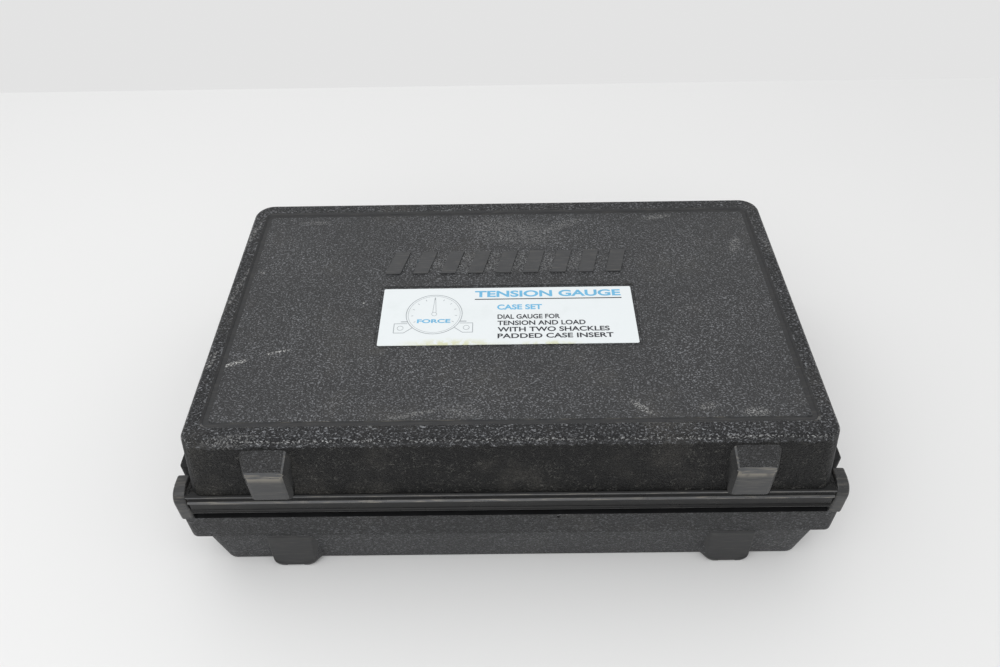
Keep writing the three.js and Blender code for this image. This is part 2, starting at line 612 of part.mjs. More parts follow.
function addFace() {
  const { outer, inner, bottom, top } = BEZEL;
  const rim = HOUSING.radius - 1 + GAP;
  addNode('bezel_ring', turned([
    [rim, bottom + GAP], [outer - 1, bottom + GAP], [outer, bottom + 1.5], [outer, top - 3], [outer - 3, top],
    [inner, top], [inner, LENS.top + GAP], [rim, LENS.top + GAP],
  ]), 'castGrey');
  const lens = solid(disc(LENS.radius, LENS.bottom, LENS.top, DIAL.x, DIAL.y, 48));
  const hole = solid(disc(LENS.hole, LENS.bottom - 1, LENS.top + 1, DIAL.x, DIAL.y, 16));
  addNode('lens', lens.subtract(hole), 'glass');
  const plate = solid(disc(DIAL_PLATE.radius, DIAL_PLATE.bottom, DIAL_PLATE.top, DIAL.x, DIAL.y, 48));
  const arborHole = disc(DIAL_PLATE.hole, DIAL_PLATE.bottom - 1, DIAL_PLATE.top + 1, DIAL.x, DIAL.y, 16);
  addNode('dial_plate', plate.subtract(solid(arborHole)), 'dialWhite');
}

// ---------- movement ----------

// One tooth's outline, as angle and radius pairs about the gear's centre
function toothPoints(middle, teeth, pitchRadius) {
  const pitchAngle = (2 * Math.PI) / teeth;
  const root = pitchRadius - 1.2 * MODULE;
  const tip = pitchRadius + 0.9 * MODULE;
  return [
    [middle - pitchAngle * 0.31, root], [middle - pitchAngle * 0.22, pitchRadius],
    [middle - pitchAngle * 0.1, tip], [middle + pitchAngle * 0.1, tip],
    [middle + pitchAngle * 0.22, pitchRadius], [middle + pitchAngle * 0.31, root],
  ];
}

function polar([angle, radius]) {
  return [radius * Math.cos(angle), radius * Math.sin(angle)];
}

// The pinion has a gap on the line of centres, where a sector tooth sits at rest
function pinionOutline() {
  const pitchAngle = (2 * Math.PI) / PINION_TEETH;
  const points = [];
  for (let i = 0; i < PINION_TEETH; i += 1) {
    const middle = -Math.PI / 2 + (i + 0.5) * pitchAngle;
    points.push(...toothPoints(middle, PINION_TEETH, PITCH_PINION));
  }
  return polygon(points.map(polar));
}

// The sector's teeth run clockwise from the line of centres, with a short web down to the hub
function sectorOutline() {
  const pitchAngle = (2 * Math.PI) / SECTOR_FULL_TEETH;
  const first = Math.PI / 2 - (SECTOR_TEETH - 2) * pitchAngle;
  const points = [];
  for (let i = 0; i < SECTOR_TEETH; i += 1) {
    points.push(...toothPoints(first + i * pitchAngle, SECTOR_FULL_TEETH, PITCH_SECTOR));
  }
  const last = first + (SECTOR_TEETH - 1) * pitchAngle + pitchAngle / 2;
  const start = first - pitchAngle / 2;
  const middle = (start + last) / 2;
  const { root, rimDepth, neckDepth, neckAngle, hubRadius, hubAngle } = SECTOR_WEB;
  points.push([last, PITCH_SECTOR - root], [last, PITCH_SECTOR - rimDepth]);
  points.push([last - neckAngle, PITCH_SECTOR - neckDepth]);
  points.push([middle + hubAngle, hubRadius], [middle - hubAngle, hubRadius]);
  points.push([start + neckAngle, PITCH_SECTOR - neckDepth]);
  points.push([start, PITCH_SECTOR - rimDepth], [start, PITCH_SECTOR - root]);
  return polygon(points.map(polar));
}

// The tail is a fork: two prongs either side of the drive link's pin
function sectorTail() {
  const { half, length, slotHalf, slotStart } = SECTOR_TAIL;
  const prong = polygon([[-half, 0], [-half, -length], [half, -length], [half, 0]]);
  const slot = polygon([
    [-slotHalf, -slotStart], [-slotHalf, -length - 1], [slotHalf, -length - 1], [slotHalf, -slotStart],
  ]);
  const tail = solid(raise(prong, GEAR_BOTTOM, GEAR_TOP));
  const opening = solid(raise(slot, GEAR_BOTTOM - 1, GEAR_TOP + 1));
  return tail.subtract(opening).rotate([0, 0, TAIL_ANGLE]);
}

function addSector() {
  const hub = solid(disc(SECTOR_HUB, GEAR_BOTTOM, GEAR_TOP, 0, 0, 24));
  const hole = solid(disc(SECTOR_STUD.hole, GEAR_BOTTOM - 1, GEAR_TOP + 1, 0, 0, 16));
  const teeth = solid(raise(sectorOutline(), GEAR_BOTTOM, GEAR_TOP));
  const sector = addNode('sector_gear', teeth.add(hub).add(sectorTail()).subtract(hole), 'brass');
  sector.position.set(SECTOR_PIVOT.x, SECTOR_PIVOT.y, 0);
}

function addMovementPlate() {
  const { bottom, top, halfX, behindPivot, pastDial, corner } = MOVEMENT_PLATE;
  const outline = roundedRectangle(-halfX, SECTOR_PIVOT.y - behindPivot, halfX, DIAL.y + pastDial, corner);
  let plate = solid(raise(outline, bottom, top, 3));
  for (const x of [-PILLAR.x, PILLAR.x]) {
    for (const y of [SECTOR_PIVOT.y + PILLAR.inset, DIAL.y + PILLAR.inset]) {
      plate = plate.add(solid(disc(PILLAR.radius, HOUSING.floor + GAP, bottom + 1, x, y, 12)));
    }
  }
  plate = plate.subtract(solid(disc(ARBOR.hole, bottom - 1, top + 1, DIAL.x, DIAL.y, 16)));
  const studHole = disc(SECTOR_STUD.hole, bottom - 1, top + 1, SECTOR_PIVOT.x, SECTOR_PIVOT.y, 16);
  plate = plate.subtract(solid(studHole));
  addNode('movement_plate', plate, 'brass');
  const stud = solid(disc(SECTOR_STUD.radius, bottom - 1, GEAR_TOP + 1, 0, 0, 16));
  const head = solid(disc(SECTOR_STUD.head, GEAR_TOP + GAP, GEAR_TOP + SECTOR_STUD.headHeight, 0, 0, 16));
  const pivot = addNode('sector_pivot', stud.add(head), 'steel');
  pivot.position.set(SECTOR_PIVOT.x, SECTOR_PIVOT.y, 0);
}

// The drive link slides along X under the sector's tail, and its pin stands in the tail's fork
function addDriveLink() {
  const { behind, ahead, halfY, bottom, top, pinRadius } = DRIVE_LINK;
  const pinX = TAIL_REACH * Math.tan(radians(TAIL_ANGLE));
  const bar = solid(box(pinX - behind, -TAIL_REACH - halfY, bottom, pinX + ahead, -TAIL_REACH + halfY, top));
  const pin = solid(disc(pinRadius, top - 1, GEAR_TOP, pinX, -TAIL_REACH, 12));
  const link = addNode('drive_link', bar.add(pin), 'steel');
  link.position.set(SECTOR_PIVOT.x, SECTOR_PIVOT.y, 0);
}

function addArbor() {
  const pinion = solid(raise(pinionOutline(), GEAR_BOTTOM - 0.5, GEAR_TOP + 0.5));
  const shaft = solid(disc(ARBOR.radius, MOVEMENT_PLATE.bottom - 1, POINTER.bottom - GAP, 0, 0, 16));
  const arbor = addNode('pinion_arbor', pinion.add(shaft), 'brass');
  arbor.position.set(DIAL.x, DIAL.y, 0);
}

// A flat spiral ribbon round the arbor, above the gears
function addHairspring() {
  const { turns, start, pitch, width, bottom, top } = HAIRSPRING;
  const stepsPerTurn = 20;
  const inner = [];
  const outer = [];
  for (let i = 0; i <= turns * stepsPerTurn; i += 1) {
    const turned = i / stepsPerTurn;
    const radius = start + turned * pitch;
    inner.push([turned * 2 * Math.PI, radius]);
    outer.push([turned * 2 * Math.PI, radius + width]);
  }
  const outline = polygon([...inner, ...outer.reverse()].map(polar));
  const spring = addNode('hairspring', raise(outline, bottom, top), 'brass');
  spring.position.set(DIAL.x, DIAL.y, 0);
}

// ---------- pointers ----------

// A tapered hand that points along its own +Y
function handOutline(length, tail, half) {
  const tailHalf = half * HAND_TAIL_SPREAD;
  return polygon([
    [-tailHalf, -tail], [tailHalf, -tail], [half, 0], [HAND_TIP_HALF, length], [-HAND_TIP_HALF, length],
    [-half, 0],
  ]);
}

function addPointers() {
  const outline = handOutline(POINTER.length, POINTER.tail, POINTER.half);
  const live = solid(raise(outline, POINTER.bottom, POINTER.top));
  const hub = solid(disc(POINTER.hub, POINTER.bottom, POINTER.top + POINTER.hubRise, 0, 0, 24));
  const pointer = addNode('live_pointer', live.add(hub), 'pointerBlack');
  pointer.position.set(DIAL.x, DIAL.y, 0);
  pointer.rotation.z = radians(ZERO_ANGLE);
  const hand = solid(raise(handOutline(PEAK.length, PEAK.tail, PEAK.half), PEAK.bottom, PEAK.top));
  const peakHub = solid(disc(PEAK.hub, PEAK.bottom, PEAK.top, 0, 0, 24));
  const peak = addNode('peak_pointer', hand.add(peakHub), 'peakRed');
  peak.position.set(DIAL.x, DIAL.y, 0);
  peak.rotation.z = radians(ZERO_ANGLE + PEAK_REST_OFFSET);
  addKnob();
}

function addKnob() {
  const cap = new THREE.LatheGeometry([
    [0, PEAK.top + GAP], [KNOB.shaft, PEAK.top + GAP], [KNOB.shaft, KNOB.bottom],
    [KNOB.radius - 1, KNOB.bottom], [KNOB.radius, KNOB.bottom + 1], [KNOB.radius, KNOB.top - 2],
    [KNOB.radius - 2, KNOB.top], [0, KNOB.top],
  ].map(([r, z]) => new THREE.Vector2(r, z)), 24);
  const knob = addNode('reset_knob', cap.rotateX(Math.PI / 2), 'pointerBlack');
  knob.position.set(DIAL.x, DIAL.y, 0);
}

// ---------- shackles ----------

// The bow's centre line, from one jaw round to the other, in the shackle's own frame
class BowCurve extends THREE.Curve {
  getPoint(t, target = new THREE.Vector3()) {
    const across = SHACKLE.jaw + SHACKLE.eyeWidth / 2;
    const angle = Math.PI * t;
    const swell = SHACKLE.swell * Math.sin(angle) ** 2;
    const x = (across + swell) * Math.cos(angle);
    const y = SHACKLE.reach * Math.sin(angle) ** 0.8;
    return target.set(x, y, 0);
  }
}

function bowSection() {
  const points = [];
  const sides = 10;
  for (let i = 0; i < sides; i += 1) {
    const angle = (i / sides) * 2 * Math.PI;
    points.push([SHACKLE.bowRadius * Math.cos(angle), SHACKLE.bowRadius * Math.sin(angle)]);
  }
  return polygon(points);
}

function shackleBow() {
  const path = { steps: 26, extrudePath: new BowCurve(), bevelEnabled: false };
  let shackle = solid(new THREE.ExtrudeGeometry(bowSection(), path));
  for (const [, side] of SIDES) {
    const low = side > 0 ? SHACKLE.jaw : -SHACKLE.jaw - SHACKLE.eyeWidth;
    shackle = shackle.add(solid(rodX(SHACKLE.eyeRadius, low, low + SHACKLE.eyeWidth, 0, 0, 28)));
  }
  const reach = SHACKLE.jaw + SHACKLE.eyeWidth + 2;
  return shackle.subtract(solid(rodX(SHACKLE.hole, -reach, reach, 0, 0, 24)));
}

// The pin has a collar outside one eye and a round head that a bar would turn
function shacklePin() {
  const { radius, end, collar, collarWidth, head, headEnd, barHole, barAt } = SHACKLE_PIN;
  const outside = SHACKLE.jaw + SHACKLE.eyeWidth;
  const shank = solid(rodX(radius, -outside - end, outside + collarWidth + 1, 0, 0, 24));
  const ring = solid(rodX(collar, outside + GAP, outside + collarWidth, 0, 0, 24));
  const grip = solid(rodX(head, outside + collarWidth - 0.5, outside + headEnd, 0, 0, 20));
  const across = head + 1;
  const bar = solid(disc(barHole, -across, across, outside + barAt, 0, 12));
  return shank.add(ring).add(grip).subtract(bar);
}

function addShackles() {
  for (const [word, side] of SIDES) {
    const group = new THREE.Group();
    group.position.set(side * SHACKLE.x, SHACKLE.y, SHACKLE.z);
    group.rotation.y = side > 0 ? 0 : Math.PI;
    object.add(group);
    addNode(`shackle_bow_${word}`, shackleBow(), 'shackleBlue', group);
    addNode(`shackle_pin_${word}`, shacklePin(), 'steel', group);
  }
}

addBase();
addLid();
addHandle();
addFoam();
addBeam();
addMounting();
addHousing();
addFace();
addMovementPlate();
addSector();
addDriveLink();
addArbor();
addHairspring();
addPointers();
addShackles();

export default object;
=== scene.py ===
import functools
import math

import bmesh
import bpy
from mathutils import Matrix, Vector, noise


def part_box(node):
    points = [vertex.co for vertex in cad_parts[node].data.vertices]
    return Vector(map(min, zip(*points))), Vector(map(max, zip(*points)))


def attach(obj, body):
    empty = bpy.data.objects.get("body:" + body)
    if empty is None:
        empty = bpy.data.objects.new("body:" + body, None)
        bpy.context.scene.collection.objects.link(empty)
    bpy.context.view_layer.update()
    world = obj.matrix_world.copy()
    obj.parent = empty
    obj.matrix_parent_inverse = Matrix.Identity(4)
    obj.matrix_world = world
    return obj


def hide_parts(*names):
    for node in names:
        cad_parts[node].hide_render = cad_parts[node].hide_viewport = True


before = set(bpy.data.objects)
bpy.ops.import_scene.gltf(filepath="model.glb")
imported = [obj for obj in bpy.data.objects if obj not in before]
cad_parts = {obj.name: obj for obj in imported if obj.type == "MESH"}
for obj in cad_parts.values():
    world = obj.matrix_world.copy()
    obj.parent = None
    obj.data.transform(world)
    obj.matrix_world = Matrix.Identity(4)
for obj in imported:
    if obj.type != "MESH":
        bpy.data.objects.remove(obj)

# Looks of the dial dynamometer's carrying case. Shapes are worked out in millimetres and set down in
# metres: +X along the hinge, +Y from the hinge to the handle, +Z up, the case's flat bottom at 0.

MM = 0.001
scene = bpy.context.scene


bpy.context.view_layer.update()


def box_mm(node):
    low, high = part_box(node)
    return low / MM, high / MM


LID_LOW, LID_HIGH = box_mm("lid_shell")
BASE_LOW, BASE_HIGH = box_mm("base_shell")

# ---------- driving dimensions, in millimetres ----------

BAND_HALF = BASE_HIGH.x  # both bands' half width
HANDLE_Y = BASE_HIGH.y  # the handle side of both bands
FOOT_FACE_Y = BASE_LOW.y  # the plane of all four standing feet
CASE_TOP = LID_HIGH.z
LID_BOTTOM = LID_LOW.z
PARTING = LID_BOTTOM - 0.3
BAND_BOTTOM = 33
FLANGE_TOP = 83
WALL_BOTTOM = 84.5  # of the lid's wall, where the smooth strip begins
WALL = 3

BOTTOM_RECT = (-203.5, -120.5, 203.5, 120.5)
BASE_WALL_RECT = (-210, -123, 210, 126)
BAND_RECT = (-BAND_HALF, -123.5, BAND_HALF, HANDLE_Y)
GAP_SILL = 56.6  # top of the band below the hinge gap
FLANGE_RECT = (-BAND_HALF, -101, BAND_HALF, HANDLE_Y)
LID_WALL_RECT = (-205, -124.5, 205, 124.5)
LID_TOP_RECT = (-200, -119.3, 200, 119.3)
CORNER = (9, 14)  # plan radii on the hinge and handle sides
INNER_CORNER = (6, 11)

PANEL_RECT = (-190, -108, 190, 108)
PANEL_Z = CASE_TOP - 1
GROOVE = 4.6  # width of the smooth groove round the panel
LABEL_RECESS_RECT = (-90.4, -42, 90.4, 20)
BARS = (89, 33, 58, 9, 11, 6)  # half length of the row, its edges in Y, how many bars, width, slant

FOOT_INNER, FOOT_OUTER, FOOT_CENTRE = 130.5, 168, 152  # the feet's roots, and the middle of their faces
FOOT_NOTCH = {"half": 6, "depth": 2.2, "top": 1.6}  # under each foot of the base

HINGE_Y, HINGE_Z = -115, 73
EAR_INNER = 209.5
PIN_HOLE = 3
STRIP_HALF = 207.5
STRIP_BOTTOM = 65
LIP_HALF, LIP_FRONT, LIP_BACK, LIP_BOTTOM = 196, -112, -109.5, 58.8  # hangs inside the hinge gap
HANDLE_PIVOT = (132.5, 49)
HANDLE_HALF, HANDLE_ARM = 72, 13
HANDLE_RECESS_HALF = 74.5
LATCH_X, LATCH_HALF, LATCH_RECESS_HALF = 130, 15, 16.5
LATCH_PIVOT = (134, 77)
LATCH_RECESS_FLOOR, LATCH_RECESS_BOTTOM, LATCH_PIN_HOLE = 130.5, 38, 1.8

DIAL = (0, 12)
BEAM_Y, EYE_X = -43, 92
SCREW_PLACES, SCREW_HOLE = (-34, 34), 2.9
SHACKLE_X, SHACKLE_Y, SHACKLE_Z = 155, -22, 27
SHACKLE_JAW, SHACKLE_EYE_WIDTH, SHACKLE_REACH = 12, 12, 66
ZERO_ANGLE = 150  # of the hands at rest, anticlockwise from +Y
SWEEP = 300

SIDES = (("left", -1), ("right", 1))
PRINT_DEPTH = 0.04
PRINT_LIFT = 0.005  # of print over what it is printed on

# ---------- mesh helpers ----------


def link(name, data):
    piece = bpy.data.objects.new(name, data)
    scene.collection.objects.link(piece)
    return piece


def mesh_piece(name, vertices, faces):
    mesh = bpy.data.meshes.new(name)
    mesh.from_pydata(vertices, [], faces)
    mesh.update()
    return link(name, mesh)


def drop(piece):
    mesh = piece.data
    bpy.data.objects.remove(piece)
    bpy.data.meshes.remove(mesh)


def worked(piece, change=None):
    """Changes a piece's mesh, and turns its faces outwards."""
    work = bmesh.new()
    work.from_mesh(piece.data)
    if change:
        change(work)
    bmesh.ops.recalc_face_normals(work, faces=work.faces)
    work.to_mesh(piece.data)
    work.free()
    return piece


def merge_close(work, distance=0.002):
    bmesh.ops.remove_doubles(work, verts=work.verts, dist=distance)
    bmesh.ops.dissolve_degenerate(work, edges=work.edges, dist=distance)


def evaluated_mesh(piece):
    graph = bpy.context.evaluated_depsgraph_get()
    return bpy.data.meshes.new_from_object(piece.evaluated_get(graph))


def gather(name, pieces):
    """One piece from several bodies."""
    work = bmesh.new()
    for piece in pieces:
        work.from_mesh(piece.data)
        drop(piece)
    mesh = bpy.data.meshes.new(name)
    work.to_mesh(mesh)
    work.free()
    return link(name, mesh)


def shrink(rect, inset):
    return (rect[0] + inset, rect[1] + inset, rect[2] - inset, rect[3] - inset)


def on_side(side, inner, outer):
    """Two distances from the middle as X places on one side, lowest first."""
    return sorted((side * inner, side * outer))


def raised(pairs, z):
    """Radius and height pairs, with the heights taken from z."""
    return [(radius, z + height) for radius, height in pairs]


def arc(centre, radius, start, end, steps=8):
    angles = [math.radians(start + (end - start) * i / steps) for i in range(steps + 1)]
    return [(centre[0] + radius * math.cos(a), centre[1] + radius * math.sin(a)) for a in angles]


def ring(rect, corners, z, steps=8):
    """A level rounded rectangle, with radii for its hinge and handle sides."""
    low_x, low_y, high_x, high_y = rect
    hinge, handle = (max(c, 0.05) for c in corners)
    points = arc((high_x - handle, high_y - handle), handle, 0, 90, steps)
    points += arc((low_x + handle, high_y - handle), handle, 90, 180, steps)
    points += arc((low_x + hinge, low_y + hinge), hinge, 180, 270, steps)
    points += arc((high_x - hinge, low_y + hinge), hinge, 270, 360, steps)
    return [(x, y, z) for x, y in points]


def loft(name, rings):
    """A closed body through rings with the same number of points, lowest first."""
    count = len(rings[0])
    vertices = [point for one in rings for point in one]
    faces = []
    for level in range(len(rings) - 1):
        low, high = level * count, (level + 1) * count
        for i in range(count):
            j = (i + 1) % count
            faces.append((low + i, low + j, high + j, high + i))
    faces.append(tuple(reversed(range(count))))
    faces.append(tuple(range(len(vertices) - count, len(vertices))))
    return mesh_piece(name, vertices, faces)


def block(low_rect, low_z, high_rect, high_z, corners, low_round=0.0, high_round=0.0, steps=5):
    """A body between two level outlines, with its lower and upper edges rounded."""
    if not isinstance(corners, tuple):
        corners = (corners, corners)

    def level(z, inset):
        share = (z - low_z) / (high_z - low_z)
        rect = [a + (b - a) * share for a, b in zip(low_rect, high_rect)]
        return ring(shrink(rect, inset), [c - inset for c in corners], z)

    rings = []
    for radius, edge_z, way in ((low_round, low_z, 1), (high_round, high_z, -1)):
        bend = []
        for i in range(steps + 1 if radius else 1):
            angle = math.radians(90 * i / steps) if radius else 0
            rise = way * radius * (1 - math.cos(angle))
            bend.append(level(edge_z + rise, radius * (1 - math.sin(angle))))
        rings.extend(bend if way > 0 else reversed(bend))
    return loft("block", rings)


def slab(rect, low_z, high_z, *rest):
    """A block with upright sides."""
    return block(rect, low_z, rect, high_z, *rest)


PLACERS = {
    "z": lambda a, b, c: (a, b, c),
    "x": lambda a, b, c: (c, a, b),
    "y": lambda a, b, c: (a, c, b),
}


def prism(points, low, high, axis="z"):
    """An outline carried along an axis: in Y and Z for x, in X and Z for y."""
    place = PLACERS[axis]
    count = len(points)
    vertices = [place(a, b, end) for end in (low, high) for a, b in points]
    faces = [(i, (i + 1) % count, count + (i + 1) % count, count + i) for i in range(count)]
    faces += [tuple(reversed(range(count))), tuple(range(count, 2 * count))]
    return worked(mesh_piece("prism", vertices, faces))


def cuboid(low, high):
    points = [(low[0], low[1]), (high[0], low[1]), (high[0], high[1]), (low[0], high[1])]
    return prism(points, low[2], high[2])


def rod(radius, low, high, centre, axis="x", sides=32):
    return prism(arc(centre, radius, 0, 360 * (1 - 1 / sides), sides - 1), low, high, axis)


def lathe(profile, centre=(0, 0), axis="z", steps=96):
    """A turned body from a closed outline of radius and height pairs."""
    place = PLACERS[axis]
    count = len(profile)
    vertices, faces = [], []
    for step in range(steps):
        angle = 2 * math.pi * step / steps
        across, along = math.cos(angle), math.sin(angle)
        vertices += [place(centre[0] + r * across, centre[1] + r * along, h) for r, h in profile]
        here, after = step * count, (step + 1) % steps * count
        for i in range(count):
            j = (i + 1) % count
            faces.append((here + i, after + i, after + j, here + j))
    return worked(mesh_piece("lathe", vertices, faces), merge_close)


def tube(path, radius, sides=24):
    """A round bar along a path in a level plane."""
    up = Vector((0, 0, 1))
    turns = [2 * math.pi * k / sides for k in range(sides)]
    rings = []
    for i, point in enumerate(path):
        ahead = Vector(path[min(i + 1, len(path) - 1)]) - Vector(path[max(i - 1, 0)])
        across = up.cross(ahead).normalized()
        rings.append([Vector(point) + radius * (across * math.cos(t) + up * math.sin(t)) for t in turns])
    return worked(loft("tube", rings))


def bevelled(piece, width, segments=3, angle=30):
    """Rounds the edges that are sharper than angle."""
    limit = math.radians(angle)

    def change(work):
        sharp = [e for e in work.edges if len(e.link_faces) == 2 and e.calc_face_angle() > limit]
        bmesh.ops.bevel(work, geom=sharp, offset=width, offset_type="OFFSET", segments=segments,
                        profile=0.5, affect="EDGES", clamp_overlap=True)

    return worked(piece, change)


def boolean(piece, others, operation):
    """Joins or cuts, and uses up the other bodies."""
    for other in others:
        modifier = piece.modifiers.new("cut", "BOOLEAN")
        modifier.operation = operation
        modifier.solver = "MANIFOLD"
        modifier.object = other
        made = evaluated_mesh(piece)
        piece.modifiers.clear()
        old = piece.data
        piece.data = made
        bpy.data.meshes.remove(old)
        drop(other)
    return piece


def join(piece, *others):
    return boolean(piece, others, "UNION")


def cut(piece, *others):
    return boolean(piece, others, "DIFFERENCE")


def words(text, left, low, width, height, z, weight=0.0):
    """Plain words or figures, fitted to a width and height."""
    curve = bpy.data.curves.new("words", "FONT")
    curve.body = text
    curve.extrude = 0.5
    curve.offset = weight
    writing = link("words", curve)
    bpy.context.view_layer.update()
    mesh = evaluated_mesh(writing)
    bpy.data.objects.remove(writing)
    bpy.data.curves.remove(curve)
    spans = []
    for axis in range(3):
        places = [vertex.co[axis] for vertex in mesh.vertices]
        spans.append((min(places), max(places) - min(places)))
    for vertex in mesh.vertices:
        share = [(vertex.co[axis] - start) / size for axis, (start, size) in enumerate(spans)]
        vertex.co = (left + share[0] * width, low + share[1] * height, z + share[2] * PRINT_DEPTH)
    return link("words", mesh)


def settle(piece, name, body, finishes, replaces=(), zone=None, sharp=35):
    """Scales a finished shape to metres, gives it its materials and shading, and puts it on its CAD body.
    finishes names some of MATERIALS, and zone picks one of them for each face."""
    finishes = finishes.split()
    piece.data.materials.clear()
    for finish in finishes:
        piece.data.materials.append(MATERIALS[finish])
    work = bmesh.new()
    work.from_mesh(piece.data)
    merge_close(work)
    if zone:
        bmesh.ops.triangulate(work, faces=[face for face in work.faces if len(face.verts) > 4])
    for face in work.faces:
        face.smooth = True
        if zone:
            face.material_index = finishes.index(zone(face.calc_center_median(), face.normal))
    for edge in work.edges:
        edge.smooth = len(edge.link_faces) == 2 and edge.calc_face_angle(0) < math.radians(sharp)
    bmesh.ops.scale(work, vec=(MM, MM, MM), verts=work.verts)
    work.to_mesh(piece.data)
    work.free()
    piece.name = name
    piece.data.name = name
    normals = piece.modifiers.new("normals", "WEIGHTED_NORMAL")
    normals.keep_sharp = True
    if replaces:
        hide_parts(*replaces)
    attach(piece, body)
    return piece


# ---------- materials ----------


class Nodes:
    """Short calls for building one material's node tree."""

    def __init__(self, name):
        self.material = bpy.data.materials.new(name)
        self.material.use_nodes = True
        self.tree = self.material.node_tree
        self.shader = self.tree.nodes["Principled BSDF"]
        self.place = self.add("TexCoord")["Object"]

    def add(self, kind, inputs=None, **settings):
        """Adds a node, sets or wires its inputs, and gives its outputs."""
        node = self.tree.nodes.new("ShaderNode" + kind)
        for key, value in settings.items():
            setattr(node, key, value)
        for key, value in (inputs or {}).items():
            self.wire(value, node.inputs[key])
        return node.outputs

    def wire(self, value, socket):
        if isinstance(value, bpy.types.NodeSocket):
            self.tree.links.new(value, socket)
        else:
            socket.default_value = value

    def noise(self, size_mm, detail=3.0, roughness=0.55, distortion=0.0, place=None):
        return self.add("TexNoise", {
            "Vector": place or self.place, "Scale": 1 / (size_mm * MM), "Detail": detail,
            "Roughness": roughness, "Distortion": distortion,
        })["Fac"]

    def streaks(self, size, detail=3.0, roughness=0.6, distortion=0.0, place=None):
        """Noise with its own size in millimetres along each axis."""
        return self.noise(1 / MM, detail, roughness, distortion, self.mapped(size=size, place=place))

    def cells(self, size_mm, place):
        """How far each point is from the creases between round cells."""
        inputs = {"Vector": place, "Scale": 1 / (size_mm * MM)}
        return self.add("TexVoronoi", inputs, feature="DISTANCE_TO_EDGE")["Distance"]

    def math(self, operation, a, b=0.0):
        return self.add("Math", {0: a, 1: b}, operation=operation)[0]

    def product(self, *values):
        return functools.reduce(lambda a, b: self.math("MULTIPLY", a, b), values)

    def total(self, *values):
        return functools.reduce(lambda a, b: self.math("ADD", a, b), values)

    def rest(self, value):
        """What a share leaves of 1."""
        return self.math("SUBTRACT", 1.0, value)

    def span(self, value, low, high, to_low=0.0, to_high=1.0):
        """Maps low..high on to to_low..to_high, smoothly, and holds the ends."""
        inputs = {"Value": value, "From Min": low, "From Max": high, "To Min": to_low, "To Max": to_high}
        return self.add("MapRange", inputs, interpolation_type="SMOOTHSTEP")["Result"]

    def ridges(self, value, half):
        """1 on the line where a noise is at its middle, falling to 0 either side."""
        return self.span(self.math("ABSOLUTE", self.math("SUBTRACT", value, 0.5)), 0.0, half, 1.0, 0.0)

    def mix(self, share, a, b):
        """A blend of two colours, which are in sockets 6 and 7. The result is in 2."""
        return self.add("Mix", {0: share, 6: a, 7: b}, data_type="RGBA")[2]

    def mapped(self, spot=(0, 0, 0), turn=0.0, size=(1, 1, 1), place=None):
        """The place as seen from a spot, turned about Z and measured in sizes, in millimetres."""
        return self.add("Mapping", {
            "Vector": place or self.place, "Location": [v * MM for v in spot],
            "Rotation": (0, 0, math.radians(turn)), "Scale": [v * MM for v in size],
        }, vector_type="TEXTURE")["Vector"]

    def patch(self, spot, turn, size, edge):
        """1 inside an ellipsoid, falling to 0 at its surface."""
        away = self.add("VectorMath", {0: self.mapped(spot, turn, size)}, operation="LENGTH")["Value"]
        return self.span(away, edge, 1.0, 1.0, 0.0)

    def upward(self):
        return self.add("SeparateXYZ", {0: self.place})["Z"]

    def height(self, low_mm, high_mm):
        """0 below one height on the object and 1 above another."""
        return self.span(self.upward(), low_mm * MM, high_mm * MM)

    def wavering(self, size_mm, amount_mm):
        """The place, moved about by a little noise."""
        drift = self.add("TexNoise", {"Vector": self.place, "Scale": 1 / (size_mm * MM)})["Color"]
        inputs = {0: drift, 1: [amount_mm * MM] * 3, 2: self.place}
        return self.add("VectorMath", inputs, operation="MULTIPLY_ADD")[0]

    def bump(self, height, depth_mm):
        normal = self.add("Bump", {"Height": height, "Distance": depth_mm * MM})["Normal"]
        self.wire(normal, self.shader.inputs["Normal"])

    def finish(self, colour, roughness, metallic=0.0, specular=0.5):
        self.wire(colour, self.shader.inputs["Base Color"])
        self.wire(roughness, self.shader.inputs["Roughness"])
        self.shader.inputs["Metallic"].default_value = metallic
        self.shader.inputs["Specular IOR Level"].default_value = specular
        return self.material


def grey(value, tint=(0.97, 1.0, 1.06)):
    return (*(value * share for share in tint), 1.0)


def darker(colour, share):
    return [value * share for value in colour[:3]] + [1.0]


DUST = (0.17, 0.16, 0.14, 1.0)
# Pale chalk colour: for real chalky scuff marks, and for the painted highlight on the crests along the lid's
# rounded shoulder.
CHALK_AND_HIGHLIGHT = (0.5, 0.5, 0.49, 1.0)
# Pale rubbed colour: rubbing wear, and also painted highlights on the edge, ear and foot finishes.
RUBBED_AND_HIGHLIGHT = (0.2, 0.185, 0.155, 1.0)
YELLOWED = (0.62, 0.63, 0.40, 1.0)
MARK_DEPTH = 9  # half height of a chalky mark
DRAWN_LINES = (40, 0.8, 0.8)
LABEL_STAINS = ((-38, 48, 8), (28, 30, 5))  # middle, half length, half width


